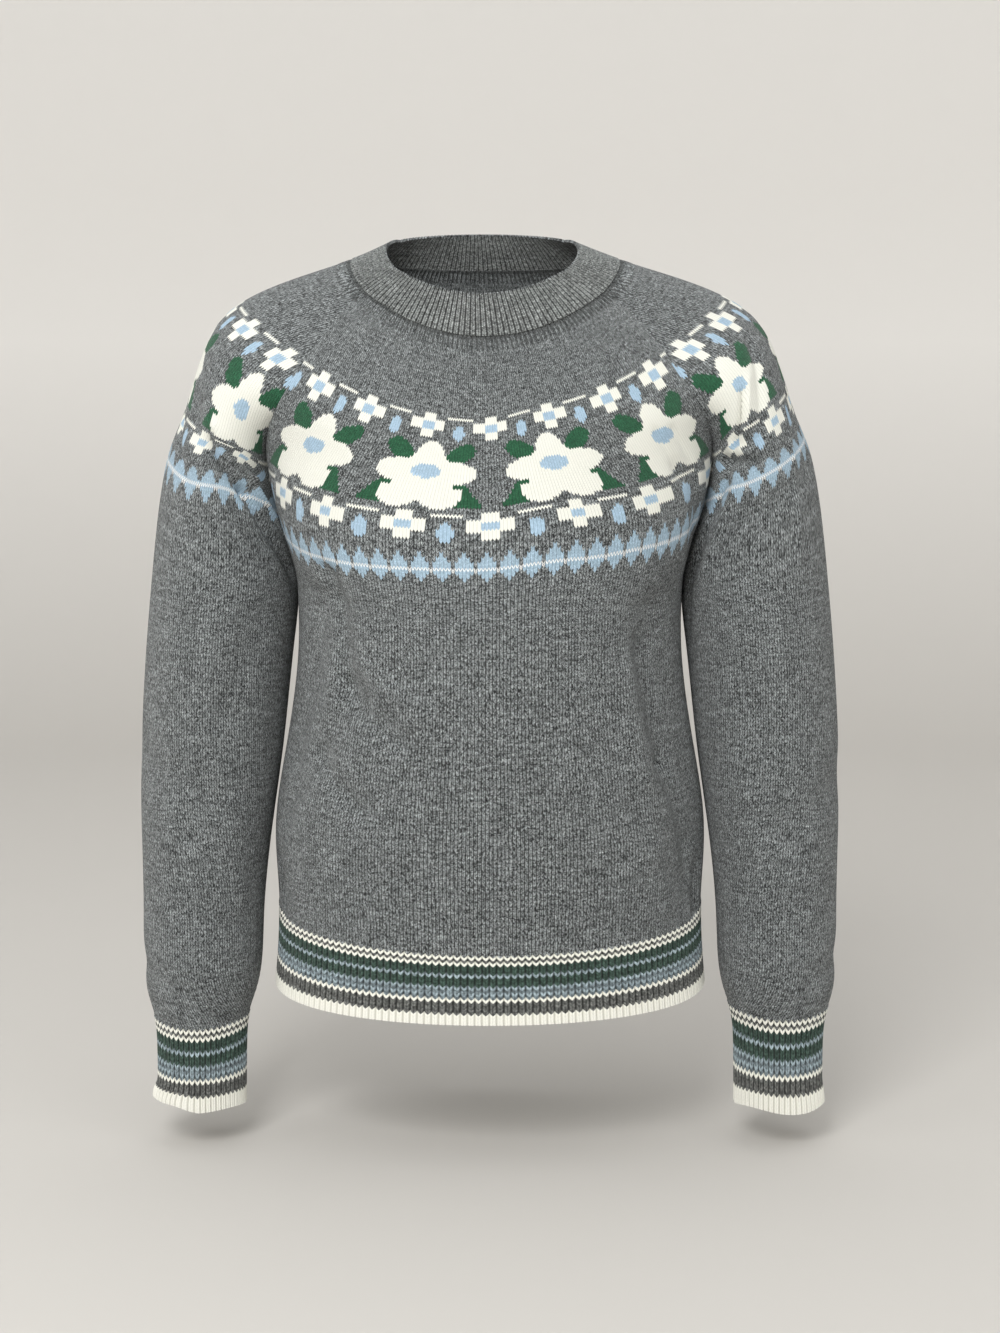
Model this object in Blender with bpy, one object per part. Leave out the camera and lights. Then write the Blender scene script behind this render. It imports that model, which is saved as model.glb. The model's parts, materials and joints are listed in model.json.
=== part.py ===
"""Crewneck sweater with a round yoke and raglan seams, hollow, in its worn form.

Frame: metres, +Z up, front towards -Y, right sleeve towards +X. The origin is between the
shoulders, at the height of the neck's base, where the garment is held up in wear.

Every jersey piece is read from section tables. A section runs across its piece at one
distance down the cloth from the neckband's seam, and all pieces share that distance, so
the raglan edges of front, back and sleeves meet.
"""
import math
from types import SimpleNamespace

import bmesh
import bpy
import numpy as np

# Cloth and seams
JERSEY_WALL = 0.0022
RIB_WALL = 0.0024
RIB_RISE = 0.0010
SEAM_GAP = 0.0003

# Distances down the cloth from the neckband's seam
NECK_EDGE = -0.034
NECK_SEAM = 0.0
UNDERARM = 0.272
HEM_SEAM = 0.550
HEM_EDGE = 0.605
CUFF_SEAM = 0.625
CUFF_EDGE = 0.696

# The neck lies a little to one side of the hem; the shift dies out down the cloth
SWAY_LOW = 0.001
SWAY_SPAN = 0.006
SWAY_REACH = 0.07

# Mesh rows and columns
YOKE_ROWS = 12
BODY_ROWS = 10
ARM_ROWS = 14
FRONT_COLUMNS = 24
BACK_COLUMNS = 20
SLEEVE_COLUMNS = 20
HEM_ROWS = 1
CUFF_ROWS = 2
NECK_ROWS = 2
NECK_RIBS = 164
HEM_RIBS = 84
CUFF_RIBS = 50
POINTS_PER_RIB = 2
RIBS_PER_INNER_POINT = 2
SECTION_SAMPLES = 401

# Step for reading slopes off the sections, in shares across and metres down
PROBE = 1e-3

# Front and back: the place of the centre line, how far the section turns towards its edges
# in degrees, how it rises to its edges (1 is a parabola), and its squareness
CENTRE_COLUMNS = ("down", "y", "z", "turn", "rise", "full")
FRONT_ROWS = (
    (-0.034, -0.070, -0.052, 56, 1.3, 1.00),
    (0.000, -0.083, -0.085, 56, 1.3, 1.00),
    (0.082, -0.106, -0.155, 50, 1.2, 1.00),
    (0.123, -0.114, -0.185, 60, 1.1, 1.00),
    (0.170, -0.121, -0.226, 84, 0.9, 1.00),
    (0.202, -0.124, -0.256, 89, 0.4, 0.95),
    (0.272, -0.126, -0.300, 90, 0.6, 0.90),
    (0.330, -0.1235, -0.352, 90, 1.0, 0.88),
    (0.400, -0.1205, -0.417, 90, 1.0, 0.86),
    (0.470, -0.117, -0.478, 90, 1.0, 0.85),
    (0.550, -0.1125, -0.550, 90, 1.0, 0.85),
    (0.605, -0.1115, -0.6045, 90, 1.0, 0.85),
)
BACK_ROWS = (
    (-0.034, 0.050, 0.007, 56, 1.0, 1.00),
    (0.000, 0.064, -0.020, 56, 1.0, 1.00),
    (0.082, 0.086, -0.085, 50, 1.0, 1.00),
    (0.123, 0.093, -0.118, 60, 1.0, 1.00),
    (0.170, 0.098, -0.160, 84, 1.0, 1.00),
    (0.202, 0.101, -0.192, 89, 1.0, 0.95),
    (0.272, 0.102, -0.258, 90, 1.0, 0.90),
    (0.330, 0.100, -0.320, 90, 1.0, 0.88),
    (0.400, 0.0985, -0.398, 90, 1.0, 0.86),
    (0.470, 0.1015, -0.468, 90, 1.0, 0.85),
    (0.550, 0.104, -0.5420, 90, 1.0, 0.85),
    (0.605, 0.104, -0.600, 90, 1.0, 0.85),
)

# Side seam of the body, below the underarm
SIDE_COLUMNS = ("down", "x", "y", "z")
SIDE_ROWS = (
    (0.272, 0.1535, 0.006, -0.272),
    (0.330, 0.1535, 0.006, -0.325),
    (0.400, 0.1630, 0.004, -0.398),
    (0.470, 0.1725, 0.002, -0.465),
    (0.550, 0.1700, 0.000, -0.538),
    (0.605, 0.1740, 0.000, -0.600),
)

# Sleeve: its top line over the shoulder and down the outside of the arm, the middle
# between its two edges (below the underarm: its seam), its half depth from front to back,
# how far round it reaches in degrees, and how far its front edge hangs below its back one
ARM_COLUMNS = ("down", "top_x", "top_y", "top_z", "seam_x", "seam_y", "seam_z",
               "depth", "reach", "slant")
SLEEVE_ROWS = (
    (-0.034, 0.0755, 0.000, -0.010, 0.0660, -0.004, -0.0150, 0.0440, 56, 24),
    (0.000, 0.1060, 0.001, -0.0205, 0.0920, 0.001, -0.0320, 0.0540, 58, 20),
    (0.082, 0.2030, 0.000, -0.058, 0.1450, 0.000, -0.0940, 0.0700, 70, 14),
    (0.123, 0.2260, -0.002, -0.092, 0.1660, 0.002, -0.1310, 0.0660, 118, 13),
    (0.170, 0.2420, -0.004, -0.140, 0.1740, 0.007, -0.1735, 0.0660, 152, 14),
    (0.202, 0.2530, -0.005, -0.168, 0.1660, 0.008, -0.2100, 0.0665, 166, 12),
    (0.272, 0.2680, -0.004, -0.262, 0.1535, 0.006, -0.2720, 0.0660, 180, 6),
    (0.330, 0.2735, -0.004, -0.318, 0.1580, 0.003, -0.3250, 0.0645, 180, 3),
    (0.400, 0.2785, -0.006, -0.395, 0.1660, -0.001, -0.3980, 0.0600, 180, 0),
    (0.470, 0.2790, -0.011, -0.465, 0.1750, -0.007, -0.4650, 0.0545, 180, 0),
    (0.550, 0.2775, -0.019, -0.545, 0.1825, -0.014, -0.5450, 0.0470, 180, 0),
    (0.605, 0.2740, -0.024, -0.600, 0.1880, -0.020, -0.6000, 0.0415, 180, 0),
    (0.625, 0.2685, -0.026, -0.619, 0.1940, -0.022, -0.6190, 0.0346, 180, 0),
    (0.650, 0.2662, -0.028, -0.644, 0.1962, -0.025, -0.6440, 0.0327, 180, 0),
    (0.696, 0.2660, -0.031, -0.689, 0.1965, -0.028, -0.6890, 0.0310, 180, 0),
)


class Sections:
    """Named columns of a section table, each joined by a natural cubic curve."""

    def __init__(self, columns, rows):
        table = np.array(rows)
        self.knots = table[:, 0]
        self.columns = {name: table[:, k] for k, name in enumerate(columns)}
        self.bends = {name: self.bend(values) for name, values in self.columns.items()}

    def bend(self, values):
        """Second derivatives that make the curve through the values smooth."""
        gaps = np.diff(self.knots)
        slopes = np.diff(values) / gaps
        matrix = np.eye(len(values))
        change = np.zeros(len(values))
        for k in range(1, len(values) - 1):
            matrix[k, k - 1:k + 2] = gaps[k - 1], 2 * (gaps[k - 1] + gaps[k]), gaps[k]
            change[k] = 6 * (slopes[k] - slopes[k - 1])
        return np.linalg.solve(matrix, change)

    def at(self, down):
        """Every column's value at the given distances down the cloth."""
        after = np.clip(np.searchsorted(self.knots, down), 1, len(self.knots) - 1)
        width = self.knots[after] - self.knots[after - 1]
        before_share = (self.knots[after] - down) / width
        after_share = 1 - before_share
        row = SimpleNamespace()
        for name, values in self.columns.items():
            bend = self.bends[name]
            straight = before_share * values[after - 1] + after_share * values[after]
            sag = ((before_share ** 3 - before_share) * bend[after - 1]
                   + (after_share ** 3 - after_share) * bend[after])
            setattr(row, name, straight + sag * width ** 2 / 6)
        return row


FRONT = Sections(CENTRE_COLUMNS, FRONT_ROWS)
BACK = Sections(CENTRE_COLUMNS, BACK_ROWS)
SIDE = Sections(SIDE_COLUMNS, SIDE_ROWS)
SLEEVE = Sections(ARM_COLUMNS, SLEEVE_ROWS)


def sleeve_points(share, down, side):
    """Points of a sleeve: share runs from -1 at its back edge to 1 at its front edge."""
    row = SLEEVE.at(down)
    reach = np.radians(np.where(down < UNDERARM, np.minimum(row.reach, 180), 180))
    slant = np.radians(row.slant)
    outward = (np.cos(share * reach) - np.cos(reach)) / (1 - np.cos(reach))
    forward = row.depth * np.sin(share * reach)
    x = row.seam_x + (row.top_x - row.seam_x) * outward
    y = row.seam_y + (row.top_y - row.seam_y) * outward - forward * np.cos(slant)
    z = row.seam_z + (row.top_z - row.seam_z) * outward - forward * np.sin(slant)
    return np.stack([side * x, y, z], axis=-1)


def body_points(share, down, centre, raglan_share):
    """Points of the front or back: share runs from -1 at its -X edge to 1 at its +X edge."""
    row = centre.at(down)
    raglan = sleeve_points(raglan_share * np.ones_like(share), down, 1)
    seam = SIDE.at(down)
    low = down >= UNDERARM
    edge_x = np.where(low, seam.x, raglan[..., 0])
    edge_y = np.where(low, seam.y, raglan[..., 1])
    edge_z = np.where(low, seam.z, raglan[..., 2])
    turn = np.radians(np.minimum(row.turn, 90))
    outward = (np.cos(share * turn) - np.cos(turn)) / (1 - np.cos(turn))
    rise = row.rise * share ** 2 + (1 - row.rise) * share ** 4
    x = edge_x * np.sin(share * turn) / np.sin(turn)
    y = edge_y + (row.y - edge_y) * np.clip(outward, 0, 1) ** row.full
    z = row.z + (edge_z - row.z) * rise
    return np.stack([x, y, z], axis=-1)


def front_points(share, down):
    return body_points(share, down, FRONT, 1)


def back_points(share, down):
    return body_points(share, down, BACK, -1)


def left_sleeve_points(share, down):
    return sleeve_points(share, down, -1)


def right_sleeve_points(share, down):
    return sleeve_points(share, down, 1)


# A piece's points, and which way its normals turn
PANELS = {
    "front": (front_points, -1),
    "back": (back_points, 1),
    "left_sleeve": (left_sleeve_points, -1),
    "right_sleeve": (right_sleeve_points, 1),
}

# Soft folds: where each starts and ends on its piece (share across, distance down), its
# half width, and its height (below zero a trough)
FOLD_COLUMNS = ("panel", "share_1", "down_1", "share_2", "down_2", "width", "height")
FOLD_ROWS = (
    ("front", 0.72, 0.150, 0.86, 0.215, 0.009, -0.0030),
    ("front", -0.62, 0.260, -0.80, 0.400, 0.020, -0.0045),
    ("front", -0.45, 0.330, -0.78, 0.450, 0.016, -0.0030),
    ("front", 0.60, 0.270, 0.80, 0.470, 0.022, -0.0050),
    ("front", 0.50, 0.430, 0.72, 0.520, 0.018, -0.0030),
    ("front", 0.05, 0.300, 0.12, 0.500, 0.050, 0.0020),
    ("back", -0.55, 0.180, -0.72, 0.420, 0.022, -0.0045),
    ("back", 0.60, 0.200, 0.74, 0.400, 0.022, -0.0045),
    ("back", -0.12, 0.300, 0.10, 0.480, 0.030, -0.0030),
    ("back", 0.30, 0.440, 0.55, 0.500, 0.018, 0.0025),
    ("right_sleeve", 0.42, 0.100, 0.62, 0.170, 0.008, -0.0030),
    ("right_sleeve", 0.20, 0.205, 0.62, 0.215, 0.010, -0.0025),
    ("right_sleeve", 0.10, 0.430, 0.55, 0.470, 0.016, -0.0030),
    ("right_sleeve", -0.20, 0.560, 0.35, 0.590, 0.013, -0.0025),
    ("right_sleeve", -0.45, 0.300, -0.20, 0.420, 0.018, -0.0035),
    ("left_sleeve", 0.30, 0.150, 0.66, 0.200, 0.012, -0.0030),
    ("left_sleeve", 0.15, 0.410, 0.60, 0.440, 0.016, -0.0030),
    ("left_sleeve", -0.10, 0.570, 0.45, 0.600, 0.013, -0.0025),
    ("left_sleeve", -0.50, 0.320, -0.15, 0.430, 0.018, -0.0035),
)
# Metres of cloth taken for one share, and the part of a share over which folds die out
FOLD_SPREAD = 0.2
FOLD_FADE = 0.12

# Look of the plain cloth: colours, roughness, and the angle that shows as a sharp edge
GREY = (0.17, 0.18, 0.18)
STRIPED = (0.20, 0.30, 0.33)
CLOTH_ROUGHNESS = 0.9
SHARP_DEGREES = 50


def fold_height(panel, share, down):
    """How far the folds lift the cloth off its plain section, in metres."""
    height = np.zeros(np.broadcast(share, down).shape)
    for row in FOLD_ROWS:
        fold = SimpleNamespace(**dict(zip(FOLD_COLUMNS, row)))
        if fold.panel != panel:
            continue
        start = np.array([fold.share_1 * FOLD_SPREAD, fold.down_1])
        run = np.array([fold.share_2 * FOLD_SPREAD, fold.down_2]) - start
        across = share * FOLD_SPREAD - start[0]
        along = down - start[1]
        step = np.clip((across * run[0] + along * run[1]) / (run @ run), 0, 1)
        away = np.hypot(across - step * run[0], along - step * run[1])
        height += fold.height * np.exp(-(away / fold.width) ** 2)
    return height


def plain_normals(panel, share, down):
    """Outward unit normals of a panel's plain sections."""
    points, turn = PANELS[panel]
    across = (points(np.minimum(share + PROBE, 1), down)
              - points(np.maximum(share - PROBE, -1), down))
    along = points(share, down + PROBE) - points(share, down - PROBE)
    normals = turn * np.cross(across, along)
    return normals / np.linalg.norm(normals, axis=-1, keepdims=True)


def sway(points, down):
    """Points shifted sideways, most of all at the neck."""
    moved = points.copy()
    moved[..., 0] += SWAY_LOW - SWAY_SPAN * np.exp((NECK_EDGE - down) / SWAY_REACH)
    return moved


def edge_normals(panel, share, down):
    """Normals at a panel's edge, halfway to those of the panel it is sewn to."""
    own = plain_normals(panel, share, down)
    is_sleeve = panel.endswith("sleeve")
    if is_sleeve:
        side = 1 if panel == "right_sleeve" else -1
        mate = "front" if share[0] > 0 else "back"
        other = plain_normals(mate, side * np.ones_like(share), down)
        other[down >= UNDERARM] = plain_normals(panel, -share, down)[down >= UNDERARM]
    else:
        sleeve = "right_sleeve" if share[0] > 0 else "left_sleeve"
        toward = 1 if panel == "front" else -1
        other = plain_normals(sleeve, toward * np.ones_like(share), down)
        mate = "back" if panel == "front" else "front"
        other[down >= UNDERARM] = plain_normals(mate, share, down)[down >= UNDERARM]
    shared = own + other
    return shared / np.linalg.norm(shared, axis=-1, keepdims=True)


def panel_walls(panel, rows, columns):
    """Outer and inner grids of a jersey panel, half a seam's gap inside its edges."""
    shares, downs = np.meshgrid(np.linspace(-1, 1, columns + 1), rows)
    points, _ = PANELS[panel]
    normals = plain_normals(panel, shares, downs)
    for column in (0, -1):
        normals[:, column] = edge_normals(panel, shares[:, column], downs[:, column])
    lift = fold_height(panel, shares, downs) * edge_fade(shares)
    outer = points(shares, downs) + normals * lift[..., None]
    inner = outer - normals * JERSEY_WALL
    return sway(outer, downs), sway(inner, downs)


def edge_fade(shares):
    """Folds die out at a panel's edges, so that its seams stay on its neighbours'."""
    return np.clip((1 - np.abs(shares)) / FOLD_FADE, 0, 1)


def draw_in(guide, grid, sides):
    """Move a grid's edges half a seam's gap towards the guide's next row or column."""
    moves = {
        "top": (np.s_[0, :], np.s_[1, :]),
        "bottom": (np.s_[-1, :], np.s_[-2, :]),
        "first": (np.s_[:, 0], np.s_[:, 1]),
        "last": (np.s_[:, -1], np.s_[:, -2]),
    }
    for side in sides:
        edge, neighbour = moves[side]
        step = guide[neighbour] - guide[edge]
        grid[edge] += step * SEAM_GAP / 2 / np.linalg.norm(step, axis=-1, keepdims=True)


def add_object(name, bm, colour):
    """Turn a closed mesh into a smooth-shaded object with its own material."""
    bmesh.ops.recalc_face_normals(bm, faces=bm.faces)
    mesh = bpy.data.meshes.new(name)
    bm.to_mesh(mesh)
    bm.free()
    mesh.shade_smooth()
    mesh.set_sharp_from_angle(angle=math.radians(SHARP_DEGREES))
    material = bpy.data.materials.new(name)
    material.use_nodes = True
    shader = material.node_tree.nodes["Principled BSDF"]
    shader.inputs["Base Color"].default_value = (*colour, 1)
    shader.inputs["Roughness"].default_value = CLOTH_ROUGHNESS
    shader.inputs["Metallic"].default_value = 0
    mesh.materials.append(material)
    bpy.context.scene.collection.objects.link(bpy.data.objects.new(name, mesh))


def grid_vertices(bm, grid, joined):
    """Vertices of a grid; on joined rows the last one is the first one again."""
    rows = []
    for points, is_joined in zip(grid, joined):
        row = [bm.verts.new(point) for point in (points[:-1] if is_joined else points)]
        rows.append(row + row[:1] if is_joined else row)
    return rows


def panel_solid(name, outer, inner, joined, colour):
    """A panel's two skins, closed along every free edge."""
    bm = bmesh.new()
    skins = [grid_vertices(bm, grid, joined) for grid in (outer, inner)]
    twin = {a: b for rows in zip(*skins) for a, b in zip(*rows)}
    outside = []
    for upper, lower in zip(skins[0], skins[0][1:]):
        for k in range(len(upper) - 1):
            corners = (upper[k], upper[k + 1], lower[k + 1], lower[k])
            corners = tuple(dict.fromkeys(corners))
            outside.append(bm.faces.new(corners))
    free = [edge for edge in bm.edges if len(edge.link_faces) == 1]
    for face in outside:
        bm.faces.new([twin[vertex] for vertex in reversed(face.verts[:])])
    for edge in free:
        a, b = edge.verts
        bm.faces.new((a, b, twin[b], twin[a]))
    add_object(name, bm, colour)


def rim(bm, fine, coarse, per_coarse):
    """Close the gap between an edge with many points and one with few."""
    for k in range(len(coarse) - 1):
        run = fine[k * per_coarse:(k + 1) * per_coarse + 1]
        middle = len(run) // 2
        for j in range(len(run) - 1):
            bm.faces.new((run[j], run[j + 1], coarse[k] if j < middle else coarse[k + 1]))
        bm.faces.new((run[middle], coarse[k + 1], coarse[k]))


def rib_solid(name, outer, inner, is_ring, colour):
    """A ribbed band: fine outer columns over a plain inside with fewer columns."""
    per_coarse = POINTS_PER_RIB * RIBS_PER_INNER_POINT
    bm = bmesh.new()
    fine = grid_vertices(bm, outer, [is_ring] * len(outer))
    coarse = grid_vertices(bm, inner, [is_ring] * len(inner))
    for skin in (fine, coarse):
        for upper, lower in zip(skin, skin[1:]):
            for k in range(len(upper) - 1):
                bm.faces.new((upper[k], upper[k + 1], lower[k + 1], lower[k]))
    for row in (0, -1):
        rim(bm, fine[row], coarse[row], per_coarse)
    if not is_ring:
        for end in (0, -1):
            for k in range(len(fine) - 1):
                bm.faces.new((fine[k][end], fine[k + 1][end],
                              coarse[k + 1][end], coarse[k][end]))
    add_object(name, bm, colour)


def section_lengths(points, down):
    """Shares across a section, and the length of cloth up to each of them."""
    shares = np.linspace(-1, 1, SECTION_SAMPLES)
    line = points(shares, down * np.ones_like(shares))
    steps = np.linalg.norm(np.diff(line, axis=0), axis=1)
    return shares, np.concatenate([[0], np.cumsum(steps)])


def section_length(points, down):
    """Length of cloth across a whole section."""
    return section_lengths(points, down)[1][-1]


def even_shares(points, down, count):
    """Shares that cut a section into equal lengths of cloth."""
    shares, lengths = section_lengths(points, down)
    return np.interp(np.linspace(0, lengths[-1], count + 1), lengths, shares)


def strip_line(runs, rows):
    """Plain points of a strip that crosses the named panels in turn, and a step down it.

    Each run names a panel, whether it is crossed backwards, and its number of columns.
    """
    line = []
    below = []
    for panel, backwards, count in runs:
        points, _ = PANELS[panel]
        shares = even_shares(points, rows[0], count)
        shares = shares[::-1] if backwards else shares
        shares, downs = np.meshgrid(shares if panel == runs[-1][0] else shares[:-1], rows)
        line.append(sway(points(shares, downs), downs))
        below.append(sway(points(shares, downs + PROBE), downs + PROBE))
    line = np.concatenate(line, axis=1)
    return line, np.concatenate(below, axis=1) - line


def rib_walls(line, below, turn, is_ring):
    """Raise every second column of a strip's outer points, and thin out its inner ones."""
    if is_ring:
        loop = line[:, :-1]
        across = np.roll(loop, -1, axis=1) - np.roll(loop, 1, axis=1)
        across = np.concatenate([across, across[:, :1]], axis=1)
    else:
        across = np.gradient(line, axis=1)
    normals = turn * np.cross(across, below)
    normals /= np.linalg.norm(normals, axis=-1, keepdims=True)
    crest = np.arange(line.shape[1]) % POINTS_PER_RIB
    outer = line + normals * ((crest - 0.5) * RIB_RISE)[None, :, None]
    inner = line - normals * (RIB_WALL - RIB_RISE / 2)
    return outer, inner[:, ::POINTS_PER_RIB * RIBS_PER_INNER_POINT]


def make_neckband(colour):
    """One ribbed ring, drawn across the front, over both shoulders and across the back."""
    order = (("front", False), ("right_sleeve", True), ("back", True), ("left_sleeve", False))
    lengths = [section_length(PANELS[panel][0], NECK_SEAM) for panel, _ in order]
    marks = np.cumsum([0] + lengths) / sum(lengths) * NECK_RIBS * POINTS_PER_RIB
    counts = np.diff(np.round(marks).astype(int))
    runs = [(panel, backwards, count) for (panel, backwards), count in zip(order, counts)]
    line, below = strip_line(runs, np.linspace(NECK_EDGE, NECK_SEAM, NECK_ROWS + 1))
    outer, inner = rib_walls(line, below, -1, True)
    for grid in (outer, inner):
        draw_in(grid, grid, ("bottom",))
    rib_solid("neckband_rib", outer, inner, True, colour)


def make_hem(name, panel, colour):
    """A ribbed strip below the front or the back, from side seam to side seam."""
    runs = ((panel, False, HEM_RIBS * POINTS_PER_RIB),)
    line, below = strip_line(runs, np.linspace(HEM_SEAM, HEM_EDGE, HEM_ROWS + 1))
    outer, inner = rib_walls(line, below, PANELS[panel][1], False)
    for grid in (outer, inner):
        draw_in(grid, grid, ("top", "first", "last"))
    rib_solid(name, outer, inner, False, colour)


def make_cuff(name, panel, colour):
    """A ribbed ring below a sleeve."""
    runs = ((panel, False, CUFF_RIBS * POINTS_PER_RIB),)
    line, below = strip_line(runs, np.linspace(CUFF_SEAM, CUFF_EDGE, CUFF_ROWS + 1))
    outer, inner = rib_walls(line, below, PANELS[panel][1], True)
    for grid in (outer, inner):
        draw_in(grid, grid, ("top",))
    rib_solid(name, outer, inner, True, colour)


def make_body_panel(name, panel, columns, colour):
    """The front or back jersey panel, from the neckband's seam to the hem rib's."""
    yoke = np.linspace(NECK_SEAM, UNDERARM, YOKE_ROWS + 1)
    body = np.linspace(UNDERARM, HEM_SEAM, BODY_ROWS + 1)[1:]
    rows = np.concatenate([yoke, body])
    outer, inner = panel_walls(panel, rows, columns)
    sides = ("top", "bottom", "first", "last")
    draw_in(outer, inner, sides)
    draw_in(outer, outer, sides)
    panel_solid(name, outer, inner, [False] * len(rows), colour)


def make_sleeve(name, panel, colour):
    """A jersey sleeve, open along its raglan edges and a tube below the underarm."""
    yoke = np.linspace(NECK_SEAM, UNDERARM, YOKE_ROWS + 1)
    arm = np.linspace(UNDERARM, CUFF_SEAM, ARM_ROWS + 1)[1:]
    rows = np.concatenate([yoke, arm])
    outer, inner = panel_walls(panel, rows, SLEEVE_COLUMNS)
    joined = rows >= UNDERARM
    pit = outer[YOKE_ROWS + 1, 0] - outer[YOKE_ROWS, 0]
    for grid in (inner, outer):
        draw_in(outer[:YOKE_ROWS], grid[:YOKE_ROWS], ("first", "last"))
        draw_in(outer, grid, ("top", "bottom"))
        grid[YOKE_ROWS, [0, -1]] += pit * SEAM_GAP / np.linalg.norm(pit)
    panel_solid(name, outer, inner, joined, colour)


def main():
    for obj in list(bpy.data.objects):
        bpy.data.objects.remove(obj, do_unlink=True)
    make_body_panel("front_panel", "front", FRONT_COLUMNS, GREY)
    make_body_panel("back_panel", "back", BACK_COLUMNS, GREY)
    make_sleeve("left_sleeve", "left_sleeve", GREY)
    make_sleeve("right_sleeve", "right_sleeve", GREY)
    make_neckband(GREY)
    make_hem("front_hem_rib", "front", STRIPED)
    make_hem("back_hem_rib", "back", STRIPED)
    make_cuff("left_cuff_rib", "left_sleeve", STRIPED)
    make_cuff("right_cuff_rib", "right_sleeve", STRIPED)


main()
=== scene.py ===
"""Dress the crewneck sweater: knitted panels, ribs, yarns and a plain studio.

Frame: metres, +Z up, front towards -Y, right sleeve towards +X. Every piece is read from
section tables: a section runs across its panel (share from -1 at one edge to 1 at the
other) at one distance down the cloth from the neckband's seam.
"""

import json
import logging
import math
from dataclasses import dataclass
from enum import Enum
from types import SimpleNamespace

import bpy
import numpy as np
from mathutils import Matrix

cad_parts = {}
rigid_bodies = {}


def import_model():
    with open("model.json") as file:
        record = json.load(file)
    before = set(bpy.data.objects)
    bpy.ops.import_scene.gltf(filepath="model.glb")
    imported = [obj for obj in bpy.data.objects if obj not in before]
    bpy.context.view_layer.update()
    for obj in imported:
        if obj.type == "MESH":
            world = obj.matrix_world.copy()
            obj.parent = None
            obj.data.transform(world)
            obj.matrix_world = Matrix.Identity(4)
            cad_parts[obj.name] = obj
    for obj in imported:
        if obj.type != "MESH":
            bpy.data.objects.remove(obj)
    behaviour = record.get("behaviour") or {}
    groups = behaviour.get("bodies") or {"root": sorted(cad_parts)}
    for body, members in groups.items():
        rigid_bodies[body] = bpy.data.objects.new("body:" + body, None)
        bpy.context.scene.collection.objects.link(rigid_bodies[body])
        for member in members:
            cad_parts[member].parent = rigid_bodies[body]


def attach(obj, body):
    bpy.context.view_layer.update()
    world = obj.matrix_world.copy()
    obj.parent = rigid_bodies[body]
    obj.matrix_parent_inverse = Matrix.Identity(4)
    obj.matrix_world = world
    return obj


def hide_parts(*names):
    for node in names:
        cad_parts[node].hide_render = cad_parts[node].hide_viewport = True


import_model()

LOG = logging.getLogger("sweater")

# Distances down the cloth from the neckband's seam
NECK_EDGE = -0.034
NECK_SEAM = 0.0
YOKE_END = 0.2375
UNDERARM = 0.272
HEM_SEAM = 0.550
HEM_EDGE = 0.605
CUFF_EDGE = 0.696

# One course of the yoke, the stitches of half a front or back, and a sleeve's stitch
COURSE = 0.0019
HALF_STITCHES = 92
SLEEVE_STITCH = 0.0021

# Thickness of the cloth
JERSEY_WALL = 0.0022
RIB_WALL = 0.0024

# The step that normals are measured over, and the points of a measured length
PROBE = 1e-3
SAMPLES = 401

# Names that the meshes and their materials share
STITCH_MAP = "stitches"
HERE = "here"
ABOVE = "above"
STRAND = "strand"


class Panel(Enum):
    """The jersey panels, each with the way its normals turn."""

    FRONT = -1
    BACK = 1
    LEFT_SLEEVE = -2
    RIGHT_SLEEVE = 2

    @property
    def turn(self) -> int:
        """Sign that makes the cross product of its directions point outward."""
        return int(math.copysign(1, self.value))

    @property
    def is_sleeve(self) -> bool:
        """Whether the panel is a sleeve."""
        return abs(self.value) == 2

    @property
    def side(self) -> int:
        """The sleeve's side: 1 is +X, -1 is -X; 1 for front and back."""
        return -1 if self is Panel.LEFT_SLEEVE else 1


class Yarn(Enum):
    """Yarns: linear colour and how strongly each loop's tone varies."""

    GREY = (0.221, 0.238, 0.242, 1.0)
    CREAM = (0.85, 0.852, 0.78, 0.0)
    LEAF = (0.025, 0.108, 0.054, 0.3)
    SKY = (0.40, 0.55, 0.69, 0.12)
    SKY_MARL = (0.37, 0.50, 0.61, 0.22)
    HEM_CREAM = (0.88, 0.875, 0.80, 0.0)
    HEM_GREY = (0.150, 0.155, 0.148, 0.6)
    HEM_GREEN = (0.052, 0.088, 0.071, 0.5)
    HEM_BLUE = (0.34, 0.42, 0.46, 0.4)
    HEM_DUSK = (0.17, 0.21, 0.23, 0.5)
    NECK_GREY = (0.232, 0.246, 0.242, 0.7)
    # Painted shade: dark grey laid on the sunken seam course and on the grooves of the short ribs below
    # the neckband
    GROOVE_SHADE = (0.110, 0.118, 0.118, 0.8)

    @classmethod
    def palette(cls) -> np.ndarray:
        """Every yarn's values, in the order of the members."""
        return np.array([member.value for member in cls])

    @property
    def code(self) -> int:
        """Place of the yarn in the palette."""
        return list(Yarn).index(self)


def smooth(value: np.ndarray, low: float, high: float) -> np.ndarray:
    """Rise from 0 at low to 1 at high without a corner."""
    step = np.clip((value - low) / (high - low), 0, 1)
    return step * step * (3 - 2 * step)


def bell(away: np.ndarray, width: float) -> np.ndarray:
    """Fall from 1 in the middle to nothing a few widths away."""
    return np.exp(-(away / width) ** 2)


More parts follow.
